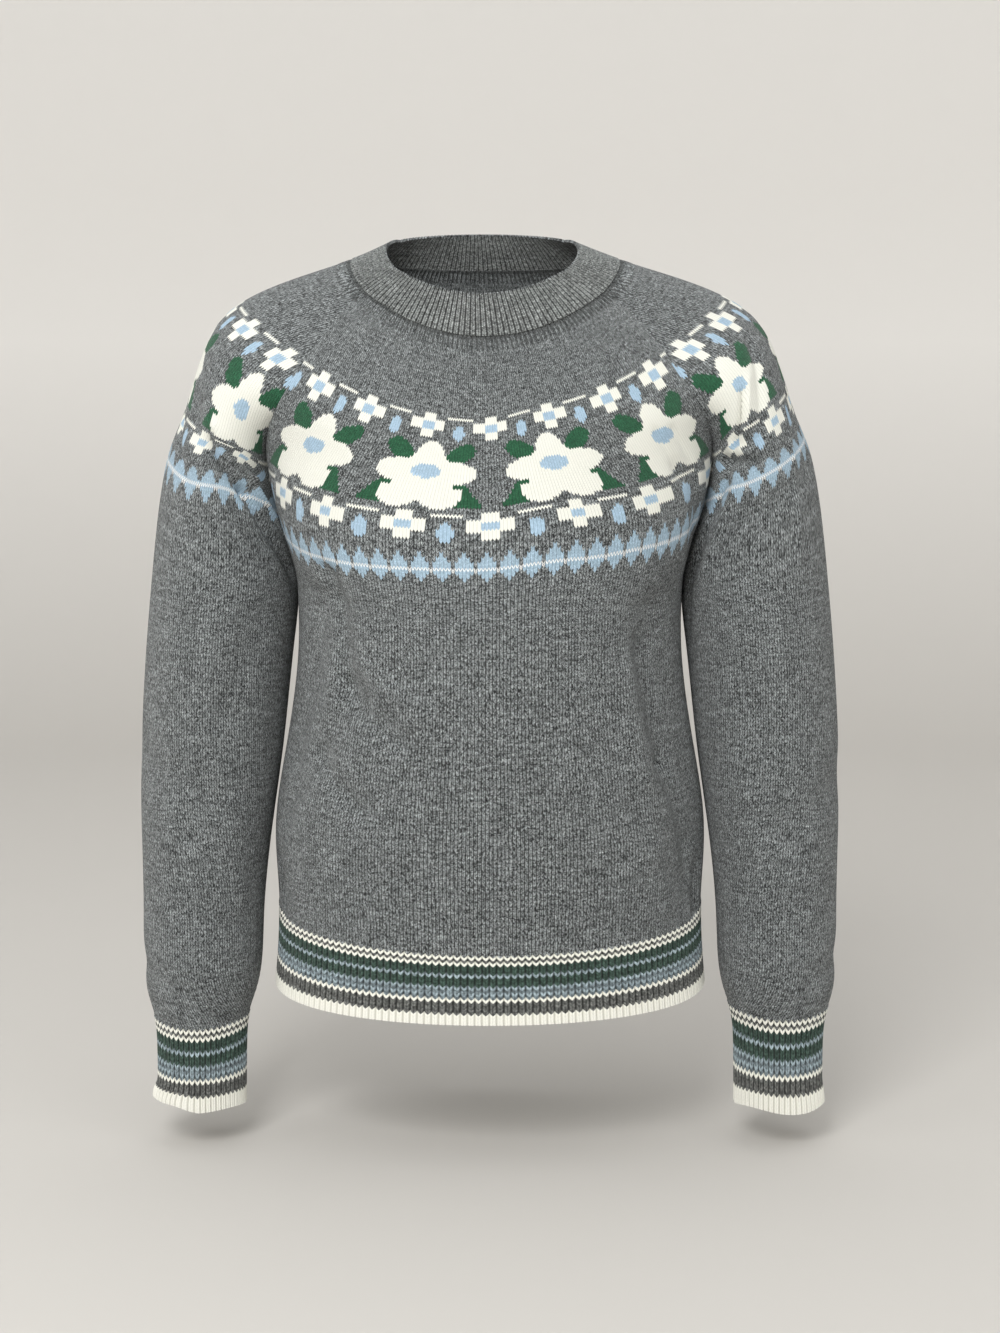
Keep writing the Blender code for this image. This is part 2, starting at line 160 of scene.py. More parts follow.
class SectionTable:
    """Named columns of a section table, each joined by a natural cubic curve."""

    def __init__(self, columns: tuple[str, ...], rows: tuple[tuple[float, ...], ...]) -> None:
        """Work out the curve through every column.

        Args:
            columns: names, the first of which is the distance down the cloth.
            rows: one tuple of values for each section.
        """
        table = np.array(rows)
        self.knots = table[:, 0]
        self.columns = {name: table[:, k] for k, name in enumerate(columns)}
        self.bends = {name: self._bend(values) for name, values in self.columns.items()}

    def _bend(self, values: np.ndarray) -> np.ndarray:
        """Second derivatives that make the curve through the values smooth.

        Args:
            values: one column of the table.

        Returns:
            One second derivative for each row.
        """
        gaps = np.diff(self.knots)
        slopes = np.diff(values) / gaps
        matrix = np.eye(len(values))
        change = np.zeros(len(values))
        for k in range(1, len(values) - 1):
            matrix[k, k - 1:k + 2] = gaps[k - 1], 2 * (gaps[k - 1] + gaps[k]), gaps[k]
            change[k] = 6 * (slopes[k] - slopes[k - 1])
        return np.linalg.solve(matrix, change)

    def at(self, down: np.ndarray) -> SimpleNamespace:
        """Every column's value at the given distances down the cloth.

        Args:
            down: distances, in metres.

        Returns:
            One array for each column, by name.
        """
        after = np.clip(np.searchsorted(self.knots, down), 1, len(self.knots) - 1)
        width = self.knots[after] - self.knots[after - 1]
        before_share = (self.knots[after] - down) / width
        after_share = 1 - before_share
        row = SimpleNamespace()
        for name, values in self.columns.items():
            bend = self.bends[name]
            straight = before_share * values[after - 1] + after_share * values[after]
            sag = ((before_share ** 3 - before_share) * bend[after - 1]
                   + (after_share ** 3 - after_share) * bend[after])
            setattr(row, name, straight + sag * width ** 2 / 6)
        return row


@dataclass(frozen=True)
class Fold:
    """A soft ridge from one spot (share, down) of a panel to another; below zero a trough."""

    panel: Panel
    start: tuple[float, float]
    end: tuple[float, float]
    width: float
    height: float

    def lift(self, share: np.ndarray, down: np.ndarray) -> np.ndarray:
        """How far the fold lifts the cloth.

        Args:
            share: places across the panel.
            down: distances down the cloth.

        Returns:
            Heights in metres.
        """
        spread = GarmentCut.FOLD_SPREAD
        run = np.array([(self.end[0] - self.start[0]) * spread, self.end[1] - self.start[1]])
        across = (share - self.start[0]) * spread
        along = down - self.start[1]
        step = np.clip((across * run[0] + along * run[1]) / (run @ run), 0, 1)
        away = np.hypot(across - step * run[0], along - step * run[1])
        return self.height * bell(away, self.width)


@dataclass(frozen=True)
class Slip:
    """Courses that slip along the cloth, more and more across a panel; below zero upwards."""

    panel: Panel
    amount: float
    shares: tuple[float, float]
    downs: tuple[float, float] | None = None
    hump: tuple[float, float] | None = None

    def at(self, share: np.ndarray, down: np.ndarray, inner: np.ndarray) -> np.ndarray:
        """How far the courses slip.

        Args:
            share: places across the panel.
            down: level distances down the cloth.
            inner: 0 at the sewn edge and 1 away from it.

        Returns:
            Distances in metres.
        """
        slip = self.amount * smooth(share, *self.shares)
        if self.downs:
            slip = slip * smooth(down, *self.downs) * inner
        if self.hump:
            slip = slip * bell(down - self.hump[0], self.hump[1]) * inner
        return slip


FRONT, BACK = Panel.FRONT, Panel.BACK
LEFT, RIGHT = Panel.LEFT_SLEEVE, Panel.RIGHT_SLEEVE

SLIPS = (
    Slip(FRONT, -0.0078, (-0.05, 0.25)),
    Slip(FRONT, -0.0028, (0.25, 0.5), downs=(0.175, 0.2)),
    Slip(RIGHT, -0.0078, (-1.0, -0.2)),
    Slip(RIGHT, -0.0095, (-0.8, 0.1), downs=(0.11, 0.15)),
    Slip(LEFT, -0.012, (0.3, 0.65), downs=(0.15, 0.185)),
    Slip(LEFT, 0.0035, (0.1, 0.5), hump=(0.127, 0.02)),
)

# Each fold's two ends as share and distance down, its width, and its height
FOLD_ROWS = {
    FRONT: (
        (0.72, 0.150, 0.86, 0.215, 0.009, -0.0030), (-0.62, 0.260, -0.80, 0.400, 0.018, -0.0066),
        (-0.45, 0.330, -0.78, 0.450, 0.014, -0.0046), (0.60, 0.270, 0.80, 0.470, 0.020, -0.0062),
        (0.50, 0.430, 0.72, 0.520, 0.016, -0.0044), (0.05, 0.300, 0.12, 0.500, 0.050, 0.0020),
        (0.80, 0.118, 0.79, 0.166, 0.0040, -0.0016), (0.72, 0.115, 0.70, 0.160, 0.0040, -0.0012),
        (-0.56, 0.221, -0.52, 0.330, 0.0105, -0.0072), (-0.50, 0.340, -0.28, 0.370, 0.0090, -0.0048),
        (-0.42, 0.318, -0.22, 0.345, 0.0090, 0.0032), (-0.61, 0.395, -0.40, 0.430, 0.0100, -0.0050),
        (0.555, 0.300, 0.64, 0.400, 0.0115, -0.0062), (0.64, 0.400, 0.76, 0.500, 0.0115, -0.0058),
        (0.46, 0.320, 0.54, 0.470, 0.0130, 0.0040), (-0.86, 0.500, -0.83, 0.535, 0.0070, -0.0046),
        (0.84, 0.500, 0.82, 0.535, 0.0070, -0.0046),
    ),
    BACK: (
        (-0.55, 0.180, -0.72, 0.420, 0.022, -0.0045), (0.60, 0.200, 0.74, 0.400, 0.022, -0.0045),
        (-0.12, 0.300, 0.10, 0.480, 0.030, -0.0030), (0.30, 0.440, 0.55, 0.500, 0.018, 0.0025),
        (-0.80, 0.150, -0.55, 0.215, 0.0110, -0.0024), (0.82, 0.155, 0.52, 0.230, 0.0110, -0.0026),
        (-0.35, 0.330, 0.10, 0.372, 0.0120, -0.0022), (-0.20, 0.300, 0.25, 0.335, 0.0120, 0.0016),
        (0.20, 0.405, 0.60, 0.380, 0.0120, -0.0020), (-0.84, 0.490, -0.80, 0.535, 0.0080, -0.0030),
    ),
    LEFT: (
        (0.30, 0.150, 0.66, 0.200, 0.012, -0.0030), (0.15, 0.410, 0.60, 0.440, 0.016, -0.0030),
        (-0.10, 0.570, 0.45, 0.600, 0.013, -0.0025), (-0.50, 0.320, -0.15, 0.430, 0.018, -0.0035),
        (0.53, 0.152, 0.82, 0.180, 0.0032, 0.0036), (0.82, 0.180, 0.96, 0.232, 0.0032, 0.0040),
        (0.47, 0.163, 0.74, 0.192, 0.0048, -0.0056), (0.74, 0.192, 0.92, 0.262, 0.0060, -0.0062),
        (0.07, 0.160, 0.35, 0.205, 0.0045, -0.0018), (0.70, 0.300, 0.45, 0.470, 0.0140, -0.0026),
        (0.55, 0.400, 0.75, 0.520, 0.0100, 0.0020), (-0.62, 0.160, -0.90, 0.250, 0.0060, -0.0034),
        (-0.50, 0.150, -0.80, 0.215, 0.0040, 0.0020),
    ),
    RIGHT: (
        (0.42, 0.100, 0.62, 0.170, 0.008, -0.0030), (0.20, 0.205, 0.62, 0.215, 0.010, -0.0025),
        (0.10, 0.430, 0.55, 0.470, 0.016, -0.0030), (-0.20, 0.560, 0.35, 0.590, 0.013, -0.0025),
        (-0.45, 0.300, -0.20, 0.420, 0.018, -0.0035), (0.66, 0.122, 0.79, 0.156, 0.0036, -0.0036),
        (0.58, 0.116, 0.70, 0.150, 0.0040, 0.0020), (0.58, 0.176, 0.88, 0.164, 0.0034, -0.0040),
        (0.60, 0.166, 0.84, 0.155, 0.0030, 0.0018), (0.30, 0.153, 0.33, 0.256, 0.0040, 0.0016),
        (0.83, 0.170, 0.86, 0.245, 0.0050, -0.0034), (0.86, 0.245, 0.93, 0.320, 0.0050, -0.0034),
        (0.74, 0.180, 0.78, 0.260, 0.0050, 0.0022), (0.62, 0.340, 0.42, 0.480, 0.0130, -0.0024),
        (0.68, 0.420, 0.55, 0.540, 0.0100, 0.0018), (-0.64, 0.165, -0.88, 0.250, 0.0060, -0.0032),
        (-0.25, 0.250, -0.60, 0.330, 0.0100, -0.0022),
    ),
}
FOLDS = tuple(Fold(panel, row[:2], row[2:4], *row[4:])
              for panel, rows in FOLD_ROWS.items() for row in rows)


@dataclass(frozen=True)
class GarmentCut:
    """The sweater's worn form: where each spot of each panel lies.

    Sizes are metres of cloth. Fields in pairs are where something begins and is complete, as
    shares across a panel or distances down the cloth.
    """

    front: SectionTable
    back: SectionTable
    side_seam: SectionTable
    sleeve: SectionTable
    folds: tuple[Fold, ...] = FOLDS
    slips: tuple[Slip, ...] = SLIPS
    slip_starts: tuple[float, float] = (0.0, 0.06)
    slip_ends: tuple[float, float] = (0.212, 0.268)
    edge_shares: tuple[float, float] = (0.75, 1.0)
    crease_drop: float = 0.0065
    crease_down: float = 0.172
    crease_width: float = 0.018
    sway_low: float = 0.001
    sway_span: float = 0.006
    sway_reach: float = 0.07
    seam_dip: float = 0.0007
    seam_width: float = 0.0035
    seam_faint: float = 0.35
    seam_deepens: tuple[float, float] = (0.12, 0.24)
    joins_from: float = 0.94
    side_rise: float = 0.011
    hem_rises_from: float = 0.40
    hem_eases: float = 0.45
    cuff_lift: float = 0.005
    cuff_lifts: tuple[float, float] = (0.54, 0.62)
    cuff_levels: tuple[float, float] = (0.64, 0.69)

    FOLD_SPREAD = 0.2
    FOLD_FADE = 0.12
    WIDTH_KNOTS = 60

    def plain_points(self, panel: Panel, share: np.ndarray, down: np.ndarray) -> np.ndarray:
        """Points of a panel's plain sections.

        Args:
            panel: which panel.
            share: places across it.
            down: distances down the cloth.

        Returns:
            Points, before folds and sway.
        """
        if panel.is_sleeve:
            return self._sleeve_points(share, down, panel.side)
        return self._body_points(share, down, panel)

    def _sleeve_points(self, share: np.ndarray, down: np.ndarray, side: int) -> np.ndarray:
        """Points of a sleeve, from -1 at its back edge to 1 at its front edge.

        Args:
            share: places round it.
            down: distances down the cloth.
            side: -1 for the left sleeve, 1 for the right.

        Returns:
            Points, with the axes last.
        """
        row = self.sleeve.at(down)
        reach = np.radians(np.where(down < UNDERARM, np.minimum(row.reach, 180), 180))
        slant = np.radians(row.slant)
        outward = (np.cos(share * reach) - np.cos(reach)) / (1 - np.cos(reach))
        forward = row.depth * np.sin(share * reach)
        x = row.seam_x + (row.top_x - row.seam_x) * outward
        y = row.seam_y + (row.top_y - row.seam_y) * outward - forward * np.cos(slant)
        z = row.seam_z + (row.top_z - row.seam_z) * outward - forward * np.sin(slant)
        return np.stack([side * x, y, z], axis=-1)

    def _body_points(self, share: np.ndarray, down: np.ndarray, panel: Panel) -> np.ndarray:
        """Points of the front or back, from -1 at its -X edge to 1 at its +X edge.

        Args:
            share: places across it.
            down: distances down the cloth.
            panel: front or back.

        Returns:
            Points, with the axes last.
        """
        row = (self.front if panel is FRONT else self.back).at(down)
        toward = 1.0 if panel is FRONT else -1.0
        raglan = self._sleeve_points(toward * np.ones_like(share), down, 1)
        seam = self.side_seam.at(down)
        low = down >= UNDERARM
        edge_x = np.where(low, seam.x, raglan[..., 0])
        edge_y = np.where(low, seam.y, raglan[..., 1])
        edge_z = np.where(low, seam.z, raglan[..., 2])
        turn = np.radians(np.minimum(row.turn, 90))
        outward = (np.cos(share * turn) - np.cos(turn)) / (1 - np.cos(turn))
        rise = row.rise * share ** 2 + (1 - row.rise) * share ** 4
        x = edge_x * np.sin(share * turn) / np.sin(turn)
        y = edge_y + (row.y - edge_y) * np.clip(outward, 0, 1) ** row.full
        z = row.z + (edge_z - row.z) * rise
        return np.stack([x, y, z], axis=-1)

    def _own_normals(self, panel: Panel, share: np.ndarray, down: np.ndarray) -> np.ndarray:
        """Outward normals of a panel's plain sections, without its neighbours.

        Args:
            panel: which panel.
            share: places across it.
            down: distances down the cloth.

        Returns:
            Unit normals.
        """
        across = (self.plain_points(panel, np.minimum(share + PROBE, 1), down)
                  - self.plain_points(panel, np.maximum(share - PROBE, -1), down))
        along = (self.plain_points(panel, share, down + PROBE)
                 - self.plain_points(panel, share, down - PROBE))
        normals = panel.turn * np.cross(across, along)
        return normals / np.linalg.norm(normals, axis=-1, keepdims=True)

    def _mate_normals(self, panel: Panel, end: int, down: np.ndarray) -> np.ndarray:
        """Normals of the panel sewn to this one's edge.

        Args:
            panel: the panel whose edge it is.
            end: -1 or 1, the edge's share.
            down: distances down the cloth.

        Returns:
            Normals of the neighbour along the shared seam.
        """
        full = np.ones_like(down)
        if panel.is_sleeve:
            mate = FRONT if end > 0 else BACK
            high = self._own_normals(mate, panel.side * full, down)
            low = self._own_normals(panel, -end * full, down)
        else:
            sleeve = RIGHT if end > 0 else LEFT
            high = self._own_normals(sleeve, (1 if panel is FRONT else -1) * full, down)
            low = self._own_normals(BACK if panel is FRONT else FRONT, end * full, down)
        return np.where((down >= UNDERARM)[..., None], low, high)

    def normals(self, panel: Panel, share: np.ndarray, down: np.ndarray) -> np.ndarray:
        """Outward normals that turn gently into those of the neighbours at the seams.

        Args:
            panel: which panel.
            share: places across it.
            down: distances down the cloth.

        Returns:
            Unit normals.
        """
        own = self._own_normals(panel, share, down)
        for end in (-1, 1):
            pull = smooth(end * share, self.joins_from, 1.0)[..., None] / 2
            if pull.any():
                mate = self._mate_normals(panel, end, down)
                own = own * (1 - pull) + mate * pull
        return own / np.linalg.norm(own, axis=-1, keepdims=True)

    def seam_depth(self, panel: Panel, share: np.ndarray, down: np.ndarray) -> np.ndarray:
        """How far the cloth dips into the seams at the panel's edges.

        Args:
            panel: which panel.
            share: places across it.
            down: distances down the cloth.

        Returns:
            Depths in metres.
        """
        half = self.half_width(panel, down)
        near = (1 - np.abs(share)) * half
        deepened = (1 - self.seam_faint) * smooth(down, *self.seam_deepens)
        return self.seam_dip * (self.seam_faint + deepened) * bell(near, self.seam_width)

    def half_width(self, panel: Panel, down: np.ndarray) -> np.ndarray:
        """Length of cloth from a panel's middle line to its edge.

        Args:
            panel: which panel.
            down: distances down the cloth.

        Returns:
            Lengths in metres.
        """
        knots = np.linspace(NECK_EDGE, CUFF_EDGE, self.WIDTH_KNOTS)
        widths = np.array([self.arc(panel, knot)[1][-1] for knot in knots])
        return np.interp(down, knots, widths)

    def arc(self, panel: Panel, down: float) -> tuple[np.ndarray, np.ndarray]:
        """Shares from 0 to 1 at one distance down, and the length of cloth up to each.

        Args:
            panel: which panel.
            down: distance down the cloth.

        Returns:
            The shares and the lengths.
        """
        shares = np.linspace(0, 1, SAMPLES)
        line = self.plain_points(panel, shares, down * np.ones_like(shares))
        steps = np.linalg.norm(np.diff(line, axis=0), axis=1)
        return shares, np.concatenate([[0], np.cumsum(steps)])

    def lift(self, panel: Panel, share: np.ndarray, down: np.ndarray) -> np.ndarray:
        """How far folds and seams move the cloth off its plain sections.

        Args:
            panel: which panel.
            share: places across it.
            down: distances down the cloth.

        Returns:
            Distances in metres, outwards.
        """
        fade = np.clip((1 - np.abs(share)) / self.FOLD_FADE, 0, 1)
        total = np.zeros(np.broadcast(share, down).shape)
        for fold in self.folds:
            if fold.panel is panel:
                total = total + fold.lift(share, down)
        return total * fade - self.seam_depth(panel, share, down)

    def surface(self, panel: Panel, share: np.ndarray,
                down: np.ndarray) -> tuple[np.ndarray, np.ndarray]:
        """The worn cloth's outside.

        Args:
            panel: which panel.
            share: places across it.
            down: distances down the cloth.

        Returns:
            Points and unit normals.
        """
        normals = self.normals(panel, share, down)
        points = self.plain_points(panel, share, down)
        points = points + normals * self.lift(panel, share, down)[..., None]
        points[..., 0] += self.sway_low - self.sway_span * np.exp(
            (NECK_EDGE - down) / self.sway_reach)
        return points, normals

    def slide(self, panel: Panel, share: np.ndarray, down: np.ndarray) -> np.ndarray:
        """How far the courses slip along the cloth, where the yoke sits askew.

        Args:
            panel: which panel.
            share: places across it.
            down: the course's level distance down.

        Returns:
            Distance to add to down; below zero the course sits higher.
        """
        rise = self.cuff_rise if panel.is_sleeve else self.hem_rise
        if panel is BACK:
            return -rise(share, down)
        held = smooth(down, *self.slip_starts) * (1 - smooth(down, *self.slip_ends))
        inner = 1 - smooth(share, *self.edge_shares)
        slips = [slip.at(share, down, inner) for slip in self.slips if slip.panel is panel]
        creased = smooth(np.abs(share) if panel is FRONT else share, *self.edge_shares)
        crease = self.crease_drop * bell(down - self.crease_down, self.crease_width)
        return held * (sum(slips) + crease * creased) - rise(share, down)

    def cuff_rise(self, share: np.ndarray, down: np.ndarray) -> np.ndarray:
        """How much higher a cuff's seam sits at its sides than in front and behind.

        Args:
            share: places round the sleeve.
            down: distances down the cloth.

        Returns:
            Distances in metres.
        """
        grown = smooth(down, *self.cuff_lifts) * (1 - smooth(down, *self.cuff_levels))
        return self.cuff_lift * np.cos(math.pi * share) ** 2 * grown

    def hem_rise(self, share: np.ndarray, down: np.ndarray) -> np.ndarray:
        """How much higher the hem sits towards the side seams.

        Args:
            share: places across the front or back.
            down: distances down the cloth.

        Returns:
            Distances in metres.
        """
        eased = 1 - self.hem_eases * smooth(down, HEM_SEAM, HEM_EDGE)
        return self.side_rise * share ** 2 * smooth(down, self.hem_rises_from, HEM_SEAM) * eased


CUT = GarmentCut(
    front=SectionTable(
        ("down", "y", "z", "turn", "rise", "full"),
        (
            (-0.034, -0.070, -0.052, 56, 1.3, 1.00),
            (0.000, -0.083, -0.085, 56, 1.3, 1.00),
            (0.082, -0.106, -0.155, 50, 1.2, 1.00),
            (0.123, -0.114, -0.185, 60, 1.1, 1.00),
            (0.170, -0.121, -0.226, 84, 0.9, 1.00),
            (0.202, -0.124, -0.256, 89, 0.4, 0.95),
            (0.272, -0.126, -0.300, 90, 0.6, 0.90),
            (0.330, -0.1235, -0.352, 90, 1.0, 0.88),
            (0.400, -0.1205, -0.417, 90, 1.0, 0.86),
            (0.470, -0.117, -0.478, 90, 1.0, 0.85),
            (0.550, -0.1125, -0.550, 90, 1.0, 0.85),
            (0.605, -0.1115, -0.6045, 90, 1.0, 0.85),
        ),
    ),
    back=SectionTable(
        ("down", "y", "z", "turn", "rise", "full"),
        (
            (-0.034, 0.050, 0.007, 56, 1.0, 1.00),
            (0.000, 0.064, -0.020, 56, 1.0, 1.00),
            (0.082, 0.086, -0.085, 50, 1.0, 1.00),
            (0.123, 0.093, -0.118, 60, 1.0, 1.00),
            (0.170, 0.098, -0.160, 84, 1.0, 1.00),
            (0.202, 0.101, -0.192, 89, 1.0, 0.95),
            (0.272, 0.102, -0.258, 90, 1.0, 0.90),
            (0.330, 0.100, -0.320, 90, 1.0, 0.88),
            (0.400, 0.0985, -0.398, 90, 1.0, 0.86),
            (0.470, 0.1015, -0.468, 90, 1.0, 0.85),
            (0.550, 0.104, -0.5420, 90, 1.0, 0.85),
            (0.605, 0.104, -0.600, 90, 1.0, 0.85),
        ),
    ),
    side_seam=SectionTable(
        ("down", "x", "y", "z"),
        (
            (0.272, 0.1535, 0.006, -0.272),
            (0.330, 0.1535, 0.006, -0.325),
            (0.400, 0.1630, 0.004, -0.398),
            (0.470, 0.1725, 0.002, -0.465),
            (0.550, 0.1700, 0.000, -0.538),
            (0.605, 0.1740, 0.000, -0.600),
        ),
    ),
    sleeve=SectionTable(
        ("down", "top_x", "top_y", "top_z", "seam_x", "seam_y", "seam_z", "depth", "reach", "slant"),
        (
            (-0.034, 0.0755, 0.000, -0.010, 0.0660, -0.004, -0.0150, 0.0440, 56, 24),
            (0.000, 0.1060, 0.001, -0.0205, 0.0920, 0.001, -0.0320, 0.0540, 58, 20),
            (0.082, 0.2030, 0.000, -0.058, 0.1450, 0.000, -0.0940, 0.0700, 70, 14),
            (0.123, 0.2260, -0.002, -0.092, 0.1660, 0.002, -0.1310, 0.0660, 118, 13),
            (0.170, 0.2420, -0.004, -0.140, 0.1740, 0.007, -0.1735, 0.0660, 152, 14),
            (0.202, 0.2530, -0.005, -0.168, 0.1660, 0.008, -0.2100, 0.0665, 166, 12),
            (0.272, 0.2680, -0.004, -0.262, 0.1535, 0.006, -0.2720, 0.0660, 180, 6),
            (0.330, 0.2735, -0.004, -0.318, 0.1580, 0.003, -0.3250, 0.0645, 180, 3),
            (0.400, 0.2785, -0.006, -0.395, 0.1660, -0.001, -0.3980, 0.0600, 180, 0),
            (0.470, 0.2790, -0.011, -0.465, 0.1750, -0.007, -0.4650, 0.0545, 180, 0),
            (0.550, 0.2775, -0.019, -0.545, 0.1825, -0.014, -0.5450, 0.0470, 180, 0),
            (0.605, 0.2740, -0.024, -0.600, 0.1880, -0.020, -0.6000, 0.0415, 180, 0),
            (0.625, 0.2685, -0.026, -0.619, 0.1940, -0.022, -0.6190, 0.0346, 180, 0),
            (0.650, 0.2662, -0.028, -0.644, 0.1962, -0.025, -0.6440, 0.0327, 180, 0),
            (0.696, 0.2660, -0.031, -0.689, 0.1965, -0.028, -0.6890, 0.0310, 180, 0),
        ),
    ),
)


def in_oval(across: np.ndarray, below: np.ndarray, half: tuple[float, float]) -> np.ndarray:
    """Whether spots lie in an oval of the given half width and half height."""
    return (across / half[0]) ** 2 + (below / half[1]) ** 2 < 1


@dataclass(frozen=True)
class CrossMotif:
    """A cross of five blocks; widths in stitches, heights in courses from its middle."""

    block: float
    arm: float
    top: float
    middle: float
    foot: float
    arm_high: float
    arm_low: float

    def paint(self, yarn: np.ndarray, across: np.ndarray, below: np.ndarray) -> None:
        """Knit the cross into the chart.

        Args:
            yarn: the chart's yarn codes, changed in place.
            across: stitches from the motif's middle.
            below: courses from the motif's middle.
        """
        wide = np.abs(across)
        column = (wide < self.block) & (below > -self.top) & (below < self.foot)
        arms = (wide < self.arm) & (below > -self.arm_high) & (below < self.arm_low)
        heart = (wide < self.block) & (np.abs(below) < self.middle)
        yarn[column | arms] = Yarn.CREAM.code
        yarn[heart] = Yarn.SKY.code


@dataclass(frozen=True)
class CrossRow:
    """A row of crosses, with a dash and an oval between each two.

    The dash is given by its course and half width, the oval by its course and half sizes.
    """

    middle: float
    cross: CrossMotif
    dash: tuple[float, float]
    oval: tuple[float, float, float]

    REPEAT_STITCHES = 24.0
    DASH_HALF = 0.6

    def paint(self, yarn: np.ndarray, repeat: np.ndarray, down: np.ndarray) -> None:
        """Knit the row into the chart.

        Args:
            yarn: the chart's yarn codes, changed in place.
            repeat: repeat numbers, whole in the middle of each cross.
            down: level distances down the cloth.
        """
        below = (down - self.middle) / COURSE
        self.cross.paint(yarn, (repeat - np.round(repeat)) * self.REPEAT_STITCHES, below)
        between = (repeat - np.floor(repeat) - 0.5) * self.REPEAT_STITCHES
        course, half = self.dash
        line = (np.abs(below - course) < self.DASH_HALF) & (np.abs(between) < half)
        yarn[line] = Yarn.CREAM.code
        yarn[in_oval(between, below - self.oval[0], self.oval[1:])] = Yarn.SKY.code


@dataclass(frozen=True)
class FlowerMotif:
    """A five-petalled flower with four leaves; sizes in millimetres of flat chart."""

    heights: tuple[float, ...] = (-25.8, -24.4, -21.5, -17, -12, -9.8, -9.0, -7.6, -5.5, -3, 0,
                                  3, 5.5, 8, 9.4, 10.6, 11.6, 14, 20, 24, 26.6, 28.4, 29.6)
    widths: tuple[float, ...] = (2.5, 6.5, 9.5, 11.8, 13.2, 15.5, 21, 31, 35.5, 38.5, 40.5,
                                 40.5, 38.5, 34.5, 30, 25, 28.5, 29.8, 29.8, 29.0, 27.0, 22.5, 16)
    notch_top: float = 24.2
    notch_slope: float = 1.9
    heart: tuple[float, float] = (11.6, 6.2)
    leaf_place: tuple[float, float] = (26.0, -16.2)
    leaf_size: tuple[float, float] = (14.0, 7.7)
    leaf_angle: float = 30.0
    low_leaf_top: float = 10.4
    low_leaf_foot: float = 28.4
    low_leaf_middle: float = 19.5
    low_leaf_inner: float = 26.5
    low_leaf_stem: float = 24.3
    stem_length: float = 3.0
    low_leaf_outer: tuple[float, float, float] = (33.0, 39.5, 46.0)

    def paint(self, yarn: np.ndarray, across: np.ndarray, below: np.ndarray) -> None:
        """Knit the flower into the chart.

        Args:
            yarn: the chart's yarn codes, changed in place.
            across: millimetres from the flower's middle.
            below: millimetres below the flower's middle.
        """
        wide = np.abs(across)
        half = np.interp(below, self.heights, self.widths, left=-1, right=-1)
        notched = (below > self.notch_top) & (wide < (below - self.notch_top) * self.notch_slope)
        petals = (wide < half) & ~notched
        angle = math.radians(self.leaf_angle)
        out = wide - self.leaf_place[0]
        drop = below - self.leaf_place[1]
        along = out * math.cos(angle) - drop * math.sin(angle)
        aside = out * math.sin(angle) + drop * math.cos(angle)
        leaf = in_oval(along, aside, self.leaf_size)
        heights = (self.low_leaf_top, self.low_leaf_middle, self.low_leaf_foot)
        spread = np.interp(below, heights, self.low_leaf_outer)
        low = (below > self.low_leaf_top) & (below < self.low_leaf_foot) & (wide < spread)
        stem_foot = self.low_leaf_top + self.stem_length
        stem = (below < stem_foot) & (wide > self.low_leaf_stem)
        low_leaf = low & ((wide > self.low_leaf_inner) | stem)
        yarn[leaf & ~petals] = Yarn.LEAF.code
        yarn[petals] = Yarn.CREAM.code
        yarn[low_leaf & ~(petals & (below > stem_foot))] = Yarn.LEAF.code
        yarn[in_oval(across, below, self.heart)] = Yarn.SKY.code


